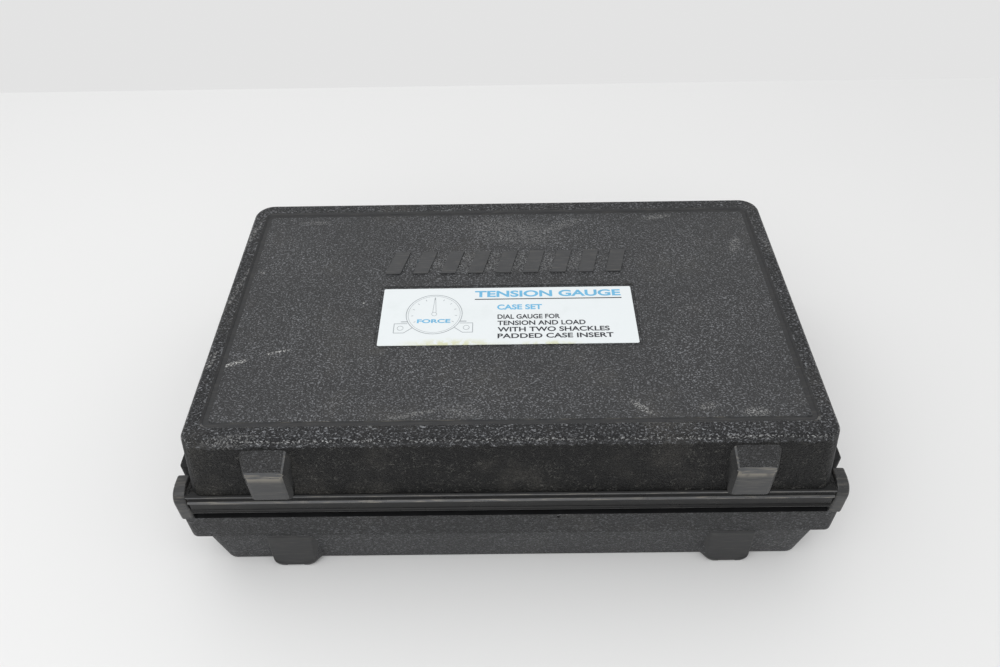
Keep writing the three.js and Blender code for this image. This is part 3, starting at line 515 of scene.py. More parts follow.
def grained(name, dark, pale, grain_mm, depth_mm, roughness, lines=0.7, dust=0.3, marks=(),
            specular=0.5, below=None):
    """Moulded leather grain: short wavy crests and longer wrinkles, their pale colour partly rubbing and
    partly a painted highlight on the crests, with dust and chalky marks.
    below is what the grain has under a ragged line: its dark and pale values and the line's height."""
    n = Nodes(name)
    place = n.wavering(grain_mm * 2.2, grain_mm * 1.5)
    folds = n.streaks((grain_mm * 1.35, grain_mm * 0.9, grain_mm * 0.9), 2.0, 0.5, place=place)
    crests = n.span(folds, 0.36, 0.66)
    wrinkles = n.ridges(n.noise(grain_mm * 2.1, 1.5, 0.5, place=place), 0.035)
    creases = n.ridges(n.noise(grain_mm * 2.6, 1.0, 0.5, place=place), 0.05)
    n.bump(n.total(crests, n.product(wrinkles, 0.5), n.product(creases, -0.6)), depth_mm)
    # The pale crests and wrinkle lines are partly rubbed wear and partly painted highlight, the glint that
    # light would put on each crest.
    pale_crest_spread = n.span(n.noise(70, 5.0, 0.6), 0.3, 0.7, 0.65, 1.0)
    strands = n.product(wrinkles, n.span(n.noise(grain_mm * 5, 3.0), 0.38, 0.62, 0.1, lines))
    pale_crests_and_highlights = n.product(n.math("MAXIMUM", n.span(folds, 0.52, 0.64), strands), pale_crest_spread)
    pale_crests_and_highlights = n.product(pale_crests_and_highlights, n.rest(n.product(creases, 0.7)))
    colour = n.mix(pale_crests_and_highlights, grey(dark), grey(pale))
    if below:
        low_dark, low_pale, line_mm = below
        ragged = n.total(n.upward(), n.product(n.noise(3.4, 3.0, 0.6), 0.009))
        above = n.span(ragged, (line_mm + 4) * MM, (line_mm + 5.4) * MM)
        # Painted highlight: crests on the rounded shoulder above the line are lightened towards the chalk
        # colour.
        roundness = n.rest(n.height(CASE_TOP - 1.2, CASE_TOP - 0.1))
        shoulder_highlight = n.product(n.height(line_mm + 3, line_mm + 4), roundness)
        colour = n.mix(n.product(shoulder_highlight, pale_crests_and_highlights, 0.6), colour, CHALK_AND_HIGHLIGHT)
        threads = n.product(strands, n.span(n.noise(26, 4.0), 0.4, 0.65, 0.55, 1.0))
        low_colour = n.mix(threads, grey(low_dark), grey(low_pale, (1.0, 0.99, 0.9)))
        colour = n.mix(above, low_colour, colour)
    patches = n.span(n.noise(60, 5.0, 0.62), 0.5, 0.75, 0.0, dust)
    fine = n.span(n.noise(grain_mm * 0.9, 2.0), 0.4, 0.66)
    specks = n.span(n.noise(grain_mm * 1.1, 3.0, 0.6), 0.5, 0.6)
    for x, y, turn, half_x, half_y, strength in marks:
        mark = n.patch((x, y, CASE_TOP), turn, (half_x, half_y, MARK_DEPTH), 0.5)
        colour = n.mix(n.product(mark, specks, strength), colour, CHALK_AND_HIGHLIGHT)
    colour = n.mix(n.product(patches, n.math("ADD", 0.3, n.product(fine, 0.7))), colour, DUST)
    return n.finish(colour, n.math("ADD", roughness, n.product(patches, 0.3)), specular=specular)


def smooth_black(name, value, roughness, rubbing_and_highlight=0.0, band=None, specular=0.5):
    """Smooth moulded plastic with rubbing marks, and a pale band between two heights. The rubbing marks are
    wear, and on the edge, ear and foot finishes also a painted highlight; the band is partly rubbing and
    partly a painted reflection.
    """
    n = Nodes(name)
    n.bump(n.noise(1.3, 3.0), 0.02)
    cloud = n.span(n.noise(14, 5.0, 0.6), 0.3, 0.75)
    marks = n.span(n.streaks((14, 1, 1), distortion=0.3), 0.45, 0.8)
    colour = n.mix(n.product(cloud, 0.5), grey(value), grey(value * 1.7))
    rub_and_highlight_mask = n.product(marks, rubbing_and_highlight)
    # The band is partly rubbing and partly a painted reflection across the top of a face.
    if band:
        scuffs_and_highlight = n.span(n.noise(5, 4.0), 0.3, 0.6, 0.35, 0.9)
        rub_and_highlight_mask = n.math("MAXIMUM", rub_and_highlight_mask, n.product(n.height(*band), scuffs_and_highlight))
    colour = n.mix(rub_and_highlight_mask, colour, RUBBED_AND_HIGHLIGHT)
    return n.finish(colour, n.math("ADD", roughness, n.product(cloud, 0.14)), specular=specular)


def metal(name, colour, roughness):
    """Machined metal: fine drawn lines, uneven polish and a little grime."""
    n = Nodes(name)
    lines = n.streaks(DRAWN_LINES)
    cloud = n.span(n.noise(9, 4.0, 0.6), 0.35, 0.75)
    n.bump(lines, 0.02)
    tone = n.mix(n.total(n.product(cloud, 0.25), n.product(lines, 0.15)), colour, darker(colour, 0.35))
    return n.finish(tone, n.total(roughness, n.product(lines, 0.12), n.product(cloud, 0.1)), 1.0)


def painted(name, colour, under, roughness, peel_mm=1.6, depth_mm=0.04, chips=0.62):
    """Paint with an orange peel and chips that show what is under it."""
    n = Nodes(name)
    n.bump(n.noise(peel_mm, 2.0), depth_mm)
    chipped = n.span(n.noise(4.5, 5.0, 0.7, 0.6), chips, chips + 0.03)
    cloud = n.span(n.noise(18, 4.0), 0.3, 0.7, 0.0, 0.3)
    tone = n.mix(chipped, n.mix(cloud, colour, darker(colour, 0.6)), under)
    return n.finish(tone, n.total(roughness, n.product(chipped, 0.2), n.product(cloud, 0.2)))


def foam(name, value):
    """Open-cell foam: small pits between soft walls."""
    n = Nodes(name)
    pits = n.cells(1.5, n.wavering(2.2, 0.9))
    n.bump(n.total(n.span(pits, 0.0, 0.3, 1.0, 0.0), n.product(n.noise(7, 3.0), 0.8)), 0.45)
    # Painted shade: the pits are coloured darker than the cell walls round them.
    tone = n.mix(n.span(pits, 0.05, 0.35), grey(value * 1.9), grey(value * 0.7))
    tone = n.mix(n.span(n.noise(45, 4.0), 0.45, 0.75, 0.0, 0.25), tone, DUST)
    return n.finish(tone, n.span(pits, 0.0, 0.3, 0.9, 1.0), specular=0.12)


def film(name):
    """The white label: smudges, and an old yellow stain along its hinge-side edge."""
    n = Nodes(name)
    n.bump(n.noise(6, 3.0), 0.03)
    smudge = n.span(n.noise(22, 4.0), 0.5, 0.8, 0.0, 0.35)
    tone = n.mix(smudge, (0.76, 0.80, 0.815, 1.0), (0.62, 0.67, 0.66, 1.0))
    ragged = n.span(n.noise(5, 4.0, 0.65, 0.4), 0.36, 0.62)
    stains = [n.patch((x, -40, 132), 0, (half_x, half_y, 30), 0.2) for x, half_x, half_y in LABEL_STAINS]
    tone = n.mix(n.product(n.math("MAXIMUM", *stains), ragged, 0.85), tone, YELLOWED)
    return n.finish(tone, n.total(0.32, n.product(smudge, 0.5)), specular=0.4)


def enamel(name, colour, roughness=0.4):
    """Flat printed or enamelled colour with a fine mottle."""
    n = Nodes(name)
    fine = n.noise(0.9, 3.0)
    n.bump(fine, 0.01)
    tone = n.mix(n.span(n.noise(12, 4.0), 0.4, 0.8), colour, darker(colour, 0.84))
    return n.finish(tone, n.total(roughness, n.product(fine, 0.1)))


def glass(name):
    """The clear lens, with a breath of dust."""
    n = Nodes(name)
    dusty = n.span(n.noise(16, 5.0), 0.45, 0.8)
    n.shader.inputs["Transmission Weight"].default_value = 1.0
    n.shader.inputs["IOR"].default_value = 1.47
    return n.finish((0.97, 0.99, 0.985, 1.0), n.span(dusty, 0.0, 1.0, 0.015, 0.09))


PANEL_MARKS = (  # x, y, turned by, half sizes, strength
    (-180, -54, 21, 11, 2.4, 1.0),
    (-154, -44.5, 15, 11, 1.8, 0.9),
    (-60, -99, 12, 22, 2.6, 0.35),
    (-30, -96, -8, 16, 8, 0.22),
    (82, -95, -40, 12, 3.2, 0.6),
    (124, -95, 5, 8, 4, 0.4),
    (152, -100, 5, 11, 5, 0.45),
    (4, 82, -12, 46, 20, 0.25),
    (44, 90, 25, 20, 6, 0.3),
    (-150, 96, 0, 16, 3, 0.35),
    (0, 46, 0, 96, 15, 0.22),
    (118, 98, 8, 14, 3.5, 0.4),
    (172, 62, 70, 13, 5, 0.35),
    (-180, 37, 0, 2, 2, 1.0),
    (-101, 3, 0, 1.6, 1.6, 1.0),
)
BORDER_MARKS = (
    (-196, 82, 78, 24, 3, 0.5),
    (-194, 20, 80, 30, 2.4, 0.55),
    (-196, -52, 82, 10, 3, 0.9),
    (-170, -118, 10, 22, 5, 0.4),
    (196, 60, 100, 14, 3, 0.35),
)

MATERIALS = {
    "panel": grained("lid_panel_grain", 0.025, 0.2, 0.95, 0.35, 0.5, 0.25, 0.3, PANEL_MARKS),
    "border": grained("lid_border_grain", 0.022, 0.24, 1.25, 1.0, 0.42, 0.9, 0.4, BORDER_MARKS, 0.28,
                      below=(0.004, 0.13, 127.3)),
    "groove": smooth_black("panel_groove", 0.024, 0.5, rubbing_and_highlight=0.15, specular=0.35),
    "band": grained("base_band_grain", 0.019, 0.11, 1.15, 0.6, 0.5, 0.7, 0.25, specular=0.4),
    "wall": grained("base_wall_grain", 0.032, 0.15, 1.15, 0.6, 0.5, 0.7, 0.25, specular=0.4),
    "strip": smooth_black("hinge_strip_gloss", 0.007, 0.25, rubbing_and_highlight=0.06, specular=0.22),
    # Painted highlight: a lighter smooth finish on the strip's ridges, the panel's front edge, the label
    # recess's walls and the feet's bevel creases.
    "strip_edge": smooth_black("edge_highlight_paint", 0.055, 0.25, rubbing_and_highlight=1.2),
    # Standing feet's faces: rubbing wear, and a pale band from 100 to 106 mm high that is partly rubbing and
    # partly a painted reflection.
    "foot": smooth_black("foot_face_worn_and_highlight", 0.03, 0.36, rubbing_and_highlight=0.3, band=(100, 106)),
    # The ears' pale rubbing marks stand in for painted highlights.
    "ear": smooth_black("ear_gloss", 0.02, 0.26, rubbing_and_highlight=0.5),
    "base_foot": smooth_black("base_foot_smooth", 0.02, 0.32, rubbing_and_highlight=0.15, specular=0.4),
    "foot_top": grained("foot_top_grain", 0.012, 0.09, 1.0, 0.6, 0.22, 0.8, 0.1),
    "foot_side": smooth_black("foot_side_gloss", 0.006, 0.2, rubbing_and_highlight=0.1, specular=0.3),
    # Dark finish of the shells' insides, also laid on outside faces under the hinge gap as painted shade.
    "inside": smooth_black("shell_inside_and_gap_shade", 0.012, 0.5, specular=0.2),
    "bars": smooth_black("raised_bar_smooth", 0.036, 0.45, rubbing_and_highlight=0.25),
    "lever": smooth_black("latch_and_handle", 0.03, 0.36, rubbing_and_highlight=0.3),
    "steel": metal("bright_steel", (0.62, 0.63, 0.64, 1.0), 0.24),
    "brass": metal("movement_brass", (0.68, 0.50, 0.22, 1.0), 0.26),
    "cast": painted("housing_hammer_paint", (0.30, 0.32, 0.33, 1.0), (0.5, 0.5, 0.5, 1.0), 0.35,
                    peel_mm=2.4, depth_mm=0.12, chips=0.8),
    "shackle": painted("shackle_paint", (0.03, 0.11, 0.27, 1.0), (0.16, 0.12, 0.09, 1.0), 0.38),
    "foam": foam("grey_foam", 0.022),
    "label": film("label_film"),
    "dial": enamel("dial_enamel", (0.84, 0.84, 0.80, 1.0)),
    "black_print": enamel("black_print", (0.02, 0.022, 0.03, 1.0)),
    "blue_print": enamel("blue_print", (0.15, 0.45, 0.69, 1.0)),
    "line_print": enamel("line_print", (0.34, 0.37, 0.39, 1.0)),
    "black": enamel("pointer_black", (0.012, 0.012, 0.013, 1.0), 0.35),
    "red": enamel("peak_red", (0.50, 0.02, 0.015, 1.0), 0.35),
    "glass": glass("lens_glass"),
}

# ---------- lid ----------


def hollow_lid():
    """The lid's inside, round the strip's floor and the bosses that hold the hinge pins."""
    inner_wall, inner_top = shrink(LID_WALL_RECT, WALL), shrink(LID_TOP_RECT, WALL)
    roof = CASE_TOP - 1.6 - WALL
    upper = block(inner_wall, WALL_BOTTOM - 4, inner_top, roof, INNER_CORNER, 0, 4)
    throat = slab(inner_wall, PARTING - 2, WALL_BOTTOM, INNER_CORNER)
    flange_rect = (-BAND_HALF + WALL, FLANGE_RECT[1] + WALL, BAND_HALF - WALL, inner_wall[3])
    flange = slab(flange_rect, PARTING - 1, FLANGE_TOP - WALL, 4, 0, 2)
    hollow = join(upper, throat, flange)
    floor = cuboid((-STRIP_HALF, -126, STRIP_BOTTOM), (STRIP_HALF, LIP_BACK, STRIP_BOTTOM + WALL))
    bosses = []
    for _, side in SIDES:
        low, high = on_side(side, STRIP_HALF - 11, STRIP_HALF)
        bosses.append(cuboid((low, -125.5, STRIP_BOTTOM - 0.1), (high, HINGE_Y + 7, WALL_BOTTOM + 1)))
    return cut(hollow, floor, *bosses)


def strip_profile():
    """The smooth strip's section: a ledge under the grained wall, a ridge, a flat and a rolled lower edge."""
    inner = -100
    return [
        (inner, STRIP_BOTTOM), (-123.6, STRIP_BOTTOM), (-124.9, 66.0), (-125.9, 66.3), (-126.1, 67.0),
        (-125.7, 67.7), (-124.9, 68.2), (-124.8, 75.2), (-125.3, 76.4), (-126.3, 76.9),
        (-126.3, 77.8), (-125.4, 78.4), (-124.8, 79.2), (-124.9, 82.4), (-125.9, 83.0), (-125.9, 84.0),
        (-124.9, WALL_BOTTOM), (inner, WALL_BOTTOM),
    ]


def lid_foot(side):
    """A standing foot on the hinge wall: a flat face, sloped sides and a bevel that runs up into the wall."""
    half, bottom, face_top, root_top, crown_top = 12.8, 81, 108, 119, 128.8
    root_y, crown_y = -116, -118.6
    x = side * FOOT_CENTRE
    left, right = on_side(side, FOOT_INNER, FOOT_OUTER)
    face = [(x - half, bottom), (x + half, bottom), (x + half, face_top), (x - half, face_top)]
    root = [(left, bottom), (right, bottom), (right, root_top), (left, root_top)]
    crown = [(right - 3, crown_y, crown_top), (left + 3, crown_y, crown_top)]
    vertices = [(a, FOOT_FACE_Y, b) for a, b in face] + [(a, root_y, b) for a, b in root] + crown
    faces = [(0, 1, 2, 3), (5, 4, 7, 9, 8, 6), (0, 4, 5, 1), (1, 5, 6, 2), (3, 7, 4, 0),
             (2, 6, 8), (3, 9, 7), (3, 2, 8, 9)]
    return bevelled(worked(mesh_piece("foot", vertices, faces), merge_close), 3.2, 5, 15)


def inside_walls(centre, low_rect, low_z, high_rect, high_z, margin):
    """Whether a face lies well within the sloped outside of a shell."""
    share = (centre.z - low_z) / (high_z - low_z)
    rect = [a + (b - a) * share for a, b in zip(low_rect, high_rect)]
    low_x, low_y, high_x, high_y = shrink(rect, margin)
    return low_x < centre.x < high_x and low_y < centre.y < high_y


def latch_cuts(low, high):
    """Cutters for the two recesses that the latches lie in."""
    cutters = []
    for _, side in SIDES:
        x = side * LATCH_X
        corner = (x - LATCH_RECESS_HALF, LATCH_RECESS_FLOOR, low)
        cutters.append(cuboid(corner, (x + LATCH_RECESS_HALF, HANDLE_Y + 1, high)))
    return cutters


def lid_zone(centre, normal):
    """The finish of one of the lid's faces."""
    across, along = abs(centre.x), abs(centre.y)
    if across < PANEL_RECT[2] + 0.6 and along < PANEL_RECT[3] + 0.6 and centre.z > PANEL_Z - 0.9:
        # The panel's front edge and the label recess's walls take the painted edge highlight.
        if centre.z > PANEL_Z + 0.1:
            return "strip_edge" if centre.y < -105 else "groove"
        if across < 95 and centre.z < PANEL_Z - 0.05 and abs(normal.z) < 0.5:
            return "strip_edge"
        past_groove = GROOVE + 0.3
        in_groove = across > PANEL_RECT[2] - past_groove or along > PANEL_RECT[3] - past_groove
        return "groove" if in_groove else "panel"
    walls = (centre, LID_WALL_RECT, WALL_BOTTOM, LID_TOP_RECT, CASE_TOP)
    in_strip = centre.z < WALL_BOTTOM
    inner = not in_strip and centre.z < CASE_TOP - 2.4 and inside_walls(*walls, 1.5)
    if inner or in_strip and -123.4 < centre.y < 124 and across < BAND_HALF - 1.5:
        return "inside"
    proud = not inside_walls(*walls, -0.35) or in_strip and centre.y < -126.6
    if FOOT_INNER < across < FOOT_OUTER and centre.y < -119 and centre.z > 80 and proud:
        # The crease between a foot's bevel and its face takes the painted edge highlight.
        if 0.12 < normal.z < 0.34 and abs(normal.x) < 0.4:
            return "strip_edge"
        if normal.z < 0.12 and normal.y < -0.95:
            return "foot"
        return "foot_top" if normal.z > 0.3 and abs(normal.x) < 0.5 else "foot_side"
    # The strip's outer ridges take the painted edge highlight.
    if centre.z < WALL_BOTTOM + 0.01 and centre.y < -123:
        return "strip_edge" if centre.y < -125.8 and centre.z > 70 else "strip"
    return "border"


def build_lid():
    crown = block(LID_WALL_RECT, WALL_BOTTOM - 2, LID_TOP_RECT, CASE_TOP, CORNER, 0, 3, 6)
    flange = slab(FLANGE_RECT, LID_BOTTOM, FLANGE_TOP, (3, 10), 1.0, 1.6)
    strip = prism(strip_profile(), -STRIP_HALF, STRIP_HALF, "x")
    shell = join(crown, flange, strip, lid_foot(-1), lid_foot(1))
    panel = block(shrink(PANEL_RECT, 0.8), PANEL_Z, shrink(PANEL_RECT, -0.4), CASE_TOP + 0.2, 5)
    moat = block(shrink(PANEL_RECT, 1.2), PANEL_Z - 0.45, shrink(PANEL_RECT, 0.8), PANEL_Z + 0.1, 5)
    island_rect = shrink(PANEL_RECT, GROOVE)
    island = block(shrink(island_rect, -0.5), PANEL_Z - 1, island_rect, PANEL_Z + 0.3, 3)
    recess = slab(LABEL_RECESS_RECT, PANEL_Z - 0.6, CASE_TOP + 1, 2)
    lip = cuboid((-LIP_HALF, LIP_FRONT, LIP_BOTTOM), (LIP_HALF, LIP_BACK, STRIP_BOTTOM + 1))
    shell = join(cut(shell, hollow_lid()), lip)
    shell = cut(shell, panel, cut(moat, island), recess, *latch_cuts(PARTING - 1, FLANGE_TOP + 1))
    reach = LATCH_RECESS_HALF + 4.3
    for _, side in SIDES:
        low, high = on_side(side, STRIP_HALF - 6.3, STRIP_HALF + 1)
        shell = cut(shell, rod(PIN_HOLE, low, high, (HINGE_Y, HINGE_Z)))
        shell = cut(shell, rod(LATCH_PIN_HOLE, side * LATCH_X - reach, side * LATCH_X + reach, LATCH_PIVOT))
    finishes = "panel border strip strip_edge foot inside groove foot_top foot_side"
    settle(shell, "lid_moulding", "lid", finishes, ["lid_shell"], lid_zone)


def build_bars():
    """A plain row of slanted bars, moulded proud of the panel."""
    half, low, high, count, width, slant = BARS
    pitch = (2 * half - width - slant) / (count - 1)
    bars = []
    for i in range(count):
        x = -half + i * pitch
        outline = [(x, low), (x + width, low), (x + width + slant, high), (x + slant, high)]
        bars.append(bevelled(prism(outline, PANEL_Z - 0.3, CASE_TOP), 0.35, 2))
    settle(gather("bars", bars), "raised_bars", "lid", "bars")


def build_ring_mark():
    """A small moulded ring near the panel's corner."""
    mark = lathe(raised([(1.1, -0.2), (1.7, -0.2), (1.7, 0.3), (1.1, 0.3)], PANEL_Z), (184, -102), steps=24)
    settle(mark, "moulded_ring_mark", "lid", "bars")


# ---------- base ----------


def ear(side):
    """A hinge ear: a knuckle round the pin, and a squarer block behind it that stands a little higher."""
    low, high = on_side(side, EAR_INNER, BAND_HALF)
    radius, back_y, bottom = 8.8, -106.5, PARTING - 3
    knuckle = [(back_y, bottom), (back_y, HINGE_Z + 8.6)] + arc((HINGE_Y, HINGE_Z), radius, 90, 180, 10)
    front = bevelled(prism(knuckle + [(HINGE_Y - radius, bottom)], low, high, "x"), 1.8, 4)
    block_outline = [(-115.7, bottom), (-106, bottom), (-106, 81.8), (-115.7, 82.5)]
    return join(front, bevelled(prism(block_outline, low + 0.2, high - 0.2, "x"), 1.6, 4))


def base_foot(side):
    """A standing foot that swells out from the band's lower edge, with rounded lower corners and a notch."""
    x, half, corner, lean, root_y = side * FOOT_CENTRE, 14.4, 7, 3.4, -119
    left, right = on_side(side, FOOT_INNER - 1, FOOT_OUTER)
    top = BAND_BOTTOM + 0.6

    def outline(low, high, flare):
        points = [(high + flare, top), (low - flare, top)]
        points += arc((low + corner, corner), corner, 180, 270, 5)
        return points + arc((high - corner, corner), corner, 270, 360, 5)

    face = [(a, FOOT_FACE_Y + lean * max(0, (b - corner) / (top - corner)), b)
            for a, b in outline(x - half, x + half, 0.6)]
    root = [(a, root_y, b) for a, b in outline(left + 1, right - 1, 1)]
    foot = bevelled(worked(loft("foot", [face, root]), merge_close), 1.5, 3, 40)
    notch = FOOT_NOTCH["half"]
    inner_corner = (x + notch, FOOT_FACE_Y + FOOT_NOTCH["depth"], FOOT_NOTCH["top"])
    return cut(foot, cuboid((x - notch, FOOT_FACE_Y - 1, -1), inner_corner))


def hollow_base():
    inner_floor, inner_wall = shrink(BOTTOM_RECT, WALL), shrink(BASE_WALL_RECT, WALL)
    lower = block(inner_floor, WALL, inner_wall, PARTING + 1, INNER_CORNER, 1.5)
    rect = (-BAND_HALF + WALL, -103, BAND_HALF - WALL, inner_wall[3])
    return join(lower, slab(rect, BAND_BOTTOM + WALL, PARTING + 1, 4))


def base_zone(centre, normal):
    """The finish of one of the base's faces."""
    across = abs(centre.x)
    if across > EAR_INNER - 0.1 and centre.z > PARTING and centre.y < -105:
        return "ear"
    # Painted shade: the sill and other faces under the hinge gap take the dark inside finish.
    if across < EAR_INNER and centre.y < -118 and centre.z > GAP_SILL - 0.4:
        return "inside"
    if centre.z < BAND_BOTTOM:
        inner = centre.z > 2 and inside_walls(centre, BOTTOM_RECT, 0, BASE_WALL_RECT, BAND_BOTTOM + 1, 1.5)
    else:
        inner = across < EAR_INNER and -121.5 < centre.y < 124 and centre.z < PARTING - 0.5
    if inner:
        return "inside"
    if centre.z < BAND_BOTTOM + 0.7 and centre.y < -123.6 and across < FOOT_OUTER:
        return "base_foot" if normal.y < -0.55 else "band"
    return "wall" if centre.z < BAND_BOTTOM + 0.01 else "band"


def build_base():
    wall = block(BOTTOM_RECT, 0, BASE_WALL_RECT, BAND_BOTTOM + 1, CORNER, 1.4, 0)
    band = slab(BAND_RECT, BAND_BOTTOM, PARTING, (5.5, 10), 1.2, 1.0)
    shell = join(wall, band, ear(-1), ear(1), base_foot(-1), base_foot(1))
    top = PARTING + 1
    recess = cuboid((-HANDLE_RECESS_HALF, 127, BAND_BOTTOM - 1), (HANDLE_RECESS_HALF, HANDLE_Y + 1, top))
    sill = cuboid((-EAR_INNER + 0.6, -125, GAP_SILL), (EAR_INNER - 0.6, -119, top))
    shell = cut(shell, hollow_base(), recess, sill, *latch_cuts(LATCH_RECESS_BOTTOM, top))
    pin_mark = rod(1.1, -126, -122, (32, 53.5), "y")
    shell = cut(shell, rod(PIN_HOLE, -84, 84, HANDLE_PIVOT), pin_mark)
    for _, side in SIDES:
        low, high = on_side(side, EAR_INNER - 1, BAND_HALF + 1)
        shell = cut(shell, rod(PIN_HOLE, low, high, (HINGE_Y, HINGE_Z)))
    finishes = "band base_foot inside wall ear"
    settle(shell, "base_moulding", "base", finishes, ["base_shell"], base_zone)


# ---------- label ----------


LINE_WIDTH = 0.5
BLUE_WORDS = (  # words, left, low, width, height
    ("TENSION GAUGE", -23, 7.2, 103.3, 6.6),
    ("CASE SET", -7.2, -5.9, 31.4, 5.2),
    ("FORCE", -62.5, -18.4, 23, 3.8),
)
BLACK_WORDS = (  # words, width
    ("DIAL GAUGE FOR", 43.2),
    ("TENSION AND LOAD", 60.4),
    ("WITH TWO SHACKLES", 76.3),
    ("PADDED CASE INSERT", 78.4),
)


def circle_line(centre, radius, z, width=LINE_WIDTH):
    inner, high = radius - width, z + PRINT_DEPTH
    return lathe([(inner, z), (radius, z), (radius, high), (inner, high)], centre, steps=64)


def line(start, end, z, width=LINE_WIDTH):
    """A flat printed line between two points."""
    start, end = Vector(start), Vector(end)
    along = end - start
    across = Vector((-along.y, along.x)).normalized() * width / 2
    return prism([start - across, end - across, end + across, start + across], z, z + PRINT_DEPTH)


def gauge_drawing(z):
    """A plain line drawing of a dial gauge: two rims, a hand, ticks and a holed lug on each side."""
    centre = Vector((-51, -9.5))

    def stroke(a, b, width=LINE_WIDTH):
        return line(centre + Vector(a), centre + Vector(b), z, width)

    rims = ((19.7, LINE_WIDTH), (18.2, 0.25), (1.9, 0.3))
    parts = [circle_line(centre, radius, z, width) for radius, width in rims]
    for side in (-1, 1):
        parts.append(stroke((side * 1.2, 1.6), (side * 0.2, 17), 0.3))
        parts.append(circle_line(centre + Vector((side * 22.6, -13.6)), 2.2, z, 0.35))
        lug = [(side * x, y) for x, y in ((18, -9.2), (27, -9.2), (27, -18.2), (20, -18.2), (14.5, -13.4))]
        parts += [stroke(a, b) for a, b in zip(lug, lug[1:])]
        parts.append(stroke((side * 18, -7.4), (side * 22.6, -7.4), 0.8))
    for i in range(11):
        turn = math.radians(-120 + 24 * i)
        way = Vector((math.sin(turn), math.cos(turn)))
        parts.append(stroke(way * 14.5, way * 16, 0.4))
    return gather("drawing", parts)


def build_label():
    low, high = box_mm("label")
    sheet = slab((low.x, low.y, high.x, high.y), low.z, high.z, 1.2, 0, 0.12, 2)
    settle(sheet, "label_sheet", "lid", "label", ["label"])
    z = high.z + PRINT_LIFT
    blue = [words(*row, z, weight=0.032) for row in BLUE_WORDS]
    black = [line((-23, 5.0), (80.6, 5.0), z, 0.9)]
    for i, (text, width) in enumerate(BLACK_WORDS):
        black.append(words(text, -7, -15.2 - 6.25 * i, width, 4.5, z, weight=0.024))
    settle(gather("blue", blue), "label_print_blue", "lid", "blue_print")
    settle(gather("black", black), "label_print_black", "lid", "black_print")
    settle(gauge_drawing(z), "label_drawing", "lid", "line_print")


# ---------- handle, latches and pins ----------


def build_handle():
    """A grip between two arms with round knuckles, with ribs under the fingers."""
    y, z = HANDLE_PIVOT
    half_y, corner, low_centre, high_centre = 4.5, 6, 15, 31
    inner, outer, top = HANDLE_HALF - HANDLE_ARM, HANDLE_HALF, z + 1
    outline = [(outer, top), (inner, top)]
    outline += reversed(arc((inner - corner, high_centre), corner, 270, 360))
    outline += reversed(arc((corner - inner, high_centre), corner, 180, 270))
    outline += [(-inner, top), (-outer, top)]
    outline += arc((corner - outer, low_centre), corner, 180, 270)
    outline += arc((outer - corner, low_centre), corner, 270, 360)
    grip = bevelled(prism(outline, y - half_y, y + half_y, "y"), 2.6, 4, 50)
    for _, side in SIDES:
        knuckle = rod(half_y, *on_side(side, inner, outer), HANDLE_PIVOT, sides=40)
        grip = join(grip, bevelled(knuckle, 0.6, 2, 50))
    for i in range(-9, 10):
        x = i * 5
        grip = cut(grip, cuboid((x - 0.7, y + half_y - 0.6, 12), (x + 0.7, y + half_y + 1, 22)))
    grip = cut(grip, rod(PIN_HOLE, -80, 80, HANDLE_PIVOT))
    settle(grip, "handle_grip", "handle", "lever", ["carry_handle"])


def build_latch(word, side):
    """A latch lever: it curls over its pin and ends in a ribbed finger lip."""
    x, pivot_z = side * LATCH_X, LATCH_PIVOT[1]
    outer, bottom = HANDLE_Y - 0.2, 41
    inner = outer - 4
    outline = [(inner, bottom + 4), (inner + 2.4, bottom), (outer, bottom), (outer, pivot_z - 2)]
    outline += arc(LATCH_PIVOT, 3.4, 0, 207, 14) + [(inner, pivot_z - 8)]
    lever = bevelled(prism(outline, x - LATCH_HALF, x + LATCH_HALF, "x"), 0.6, 3, 35)
    lever = cut(lever, slab((x - 10, outer - 0.7, x + 10, outer + 2), 56, 70, 1))
    for i in range(4):
        lever = cut(lever, rod(0.7, x - 11, x + 11, (outer + 0.2, bottom + 3 + 2.6 * i), sides=12))
    lever = cut(lever, rod(LATCH_PIN_HOLE, x - 20, x + 20, LATCH_PIVOT))
    settle(lever, "latch_lever_" + word, f"latch_{word}_body", "lever", ["latch_" + word])


def build_pin(node, body):
    """A pin with chamfered ends, where the CAD has it."""
    low, high = box_mm(node)
    radius, chamfer = (high.z - low.z) / 2, 0.5
    profile = [(0, low.x), (radius - chamfer, low.x), (radius, low.x + chamfer), (radius, high.x - chamfer),
               (radius - chamfer, high.x), (0, high.x)]
    pin = lathe(profile, ((low.y + high.y) / 2, (low.z + high.z) / 2), "x", 40)
    settle(pin, node + "_turned", body, "steel", [node])


# ---------- foam ----------

FOAM_CORNER = 9
DIAL_WELL = 79
FOAM_WELLS = (  # plan rectangle, corner radius
    ((-112, BEAM_Y - 20, 112, BEAM_Y + 20), 12),
    ((-22, 72, 22, 110), 14),
    ((-SHACKLE_X - 37, -41, -SHACKLE_X + 37, 62), 16),
    ((SHACKLE_X - 37, -41, SHACKLE_X + 37, 62), 16),
)
LID_FOAM_GRID = (130, 76)
PEAK_PITCH, PEAK_DIP, FOAM_EDGE = 17, 6.5, 12

def foam_outline(node):
    low, high = box_mm(node)
    return (low.x, low.y, high.x, high.y), low.z, high.z


def soften(foam_top):
    """Rounds the edges at the top of a piece, as cut foam settles."""
    def change(work):
        merge_close(work)
        top = [e for e in work.edges if all(v.co.z > foam_top - 0.01 for v in e.verts)
               and len(e.link_faces) == 2 and e.calc_face_angle() > 1]
        bmesh.ops.bevel(work, geom=top, offset=1.4, offset_type="OFFSET", segments=3,
                        profile=0.6, affect="EDGES")

    return change


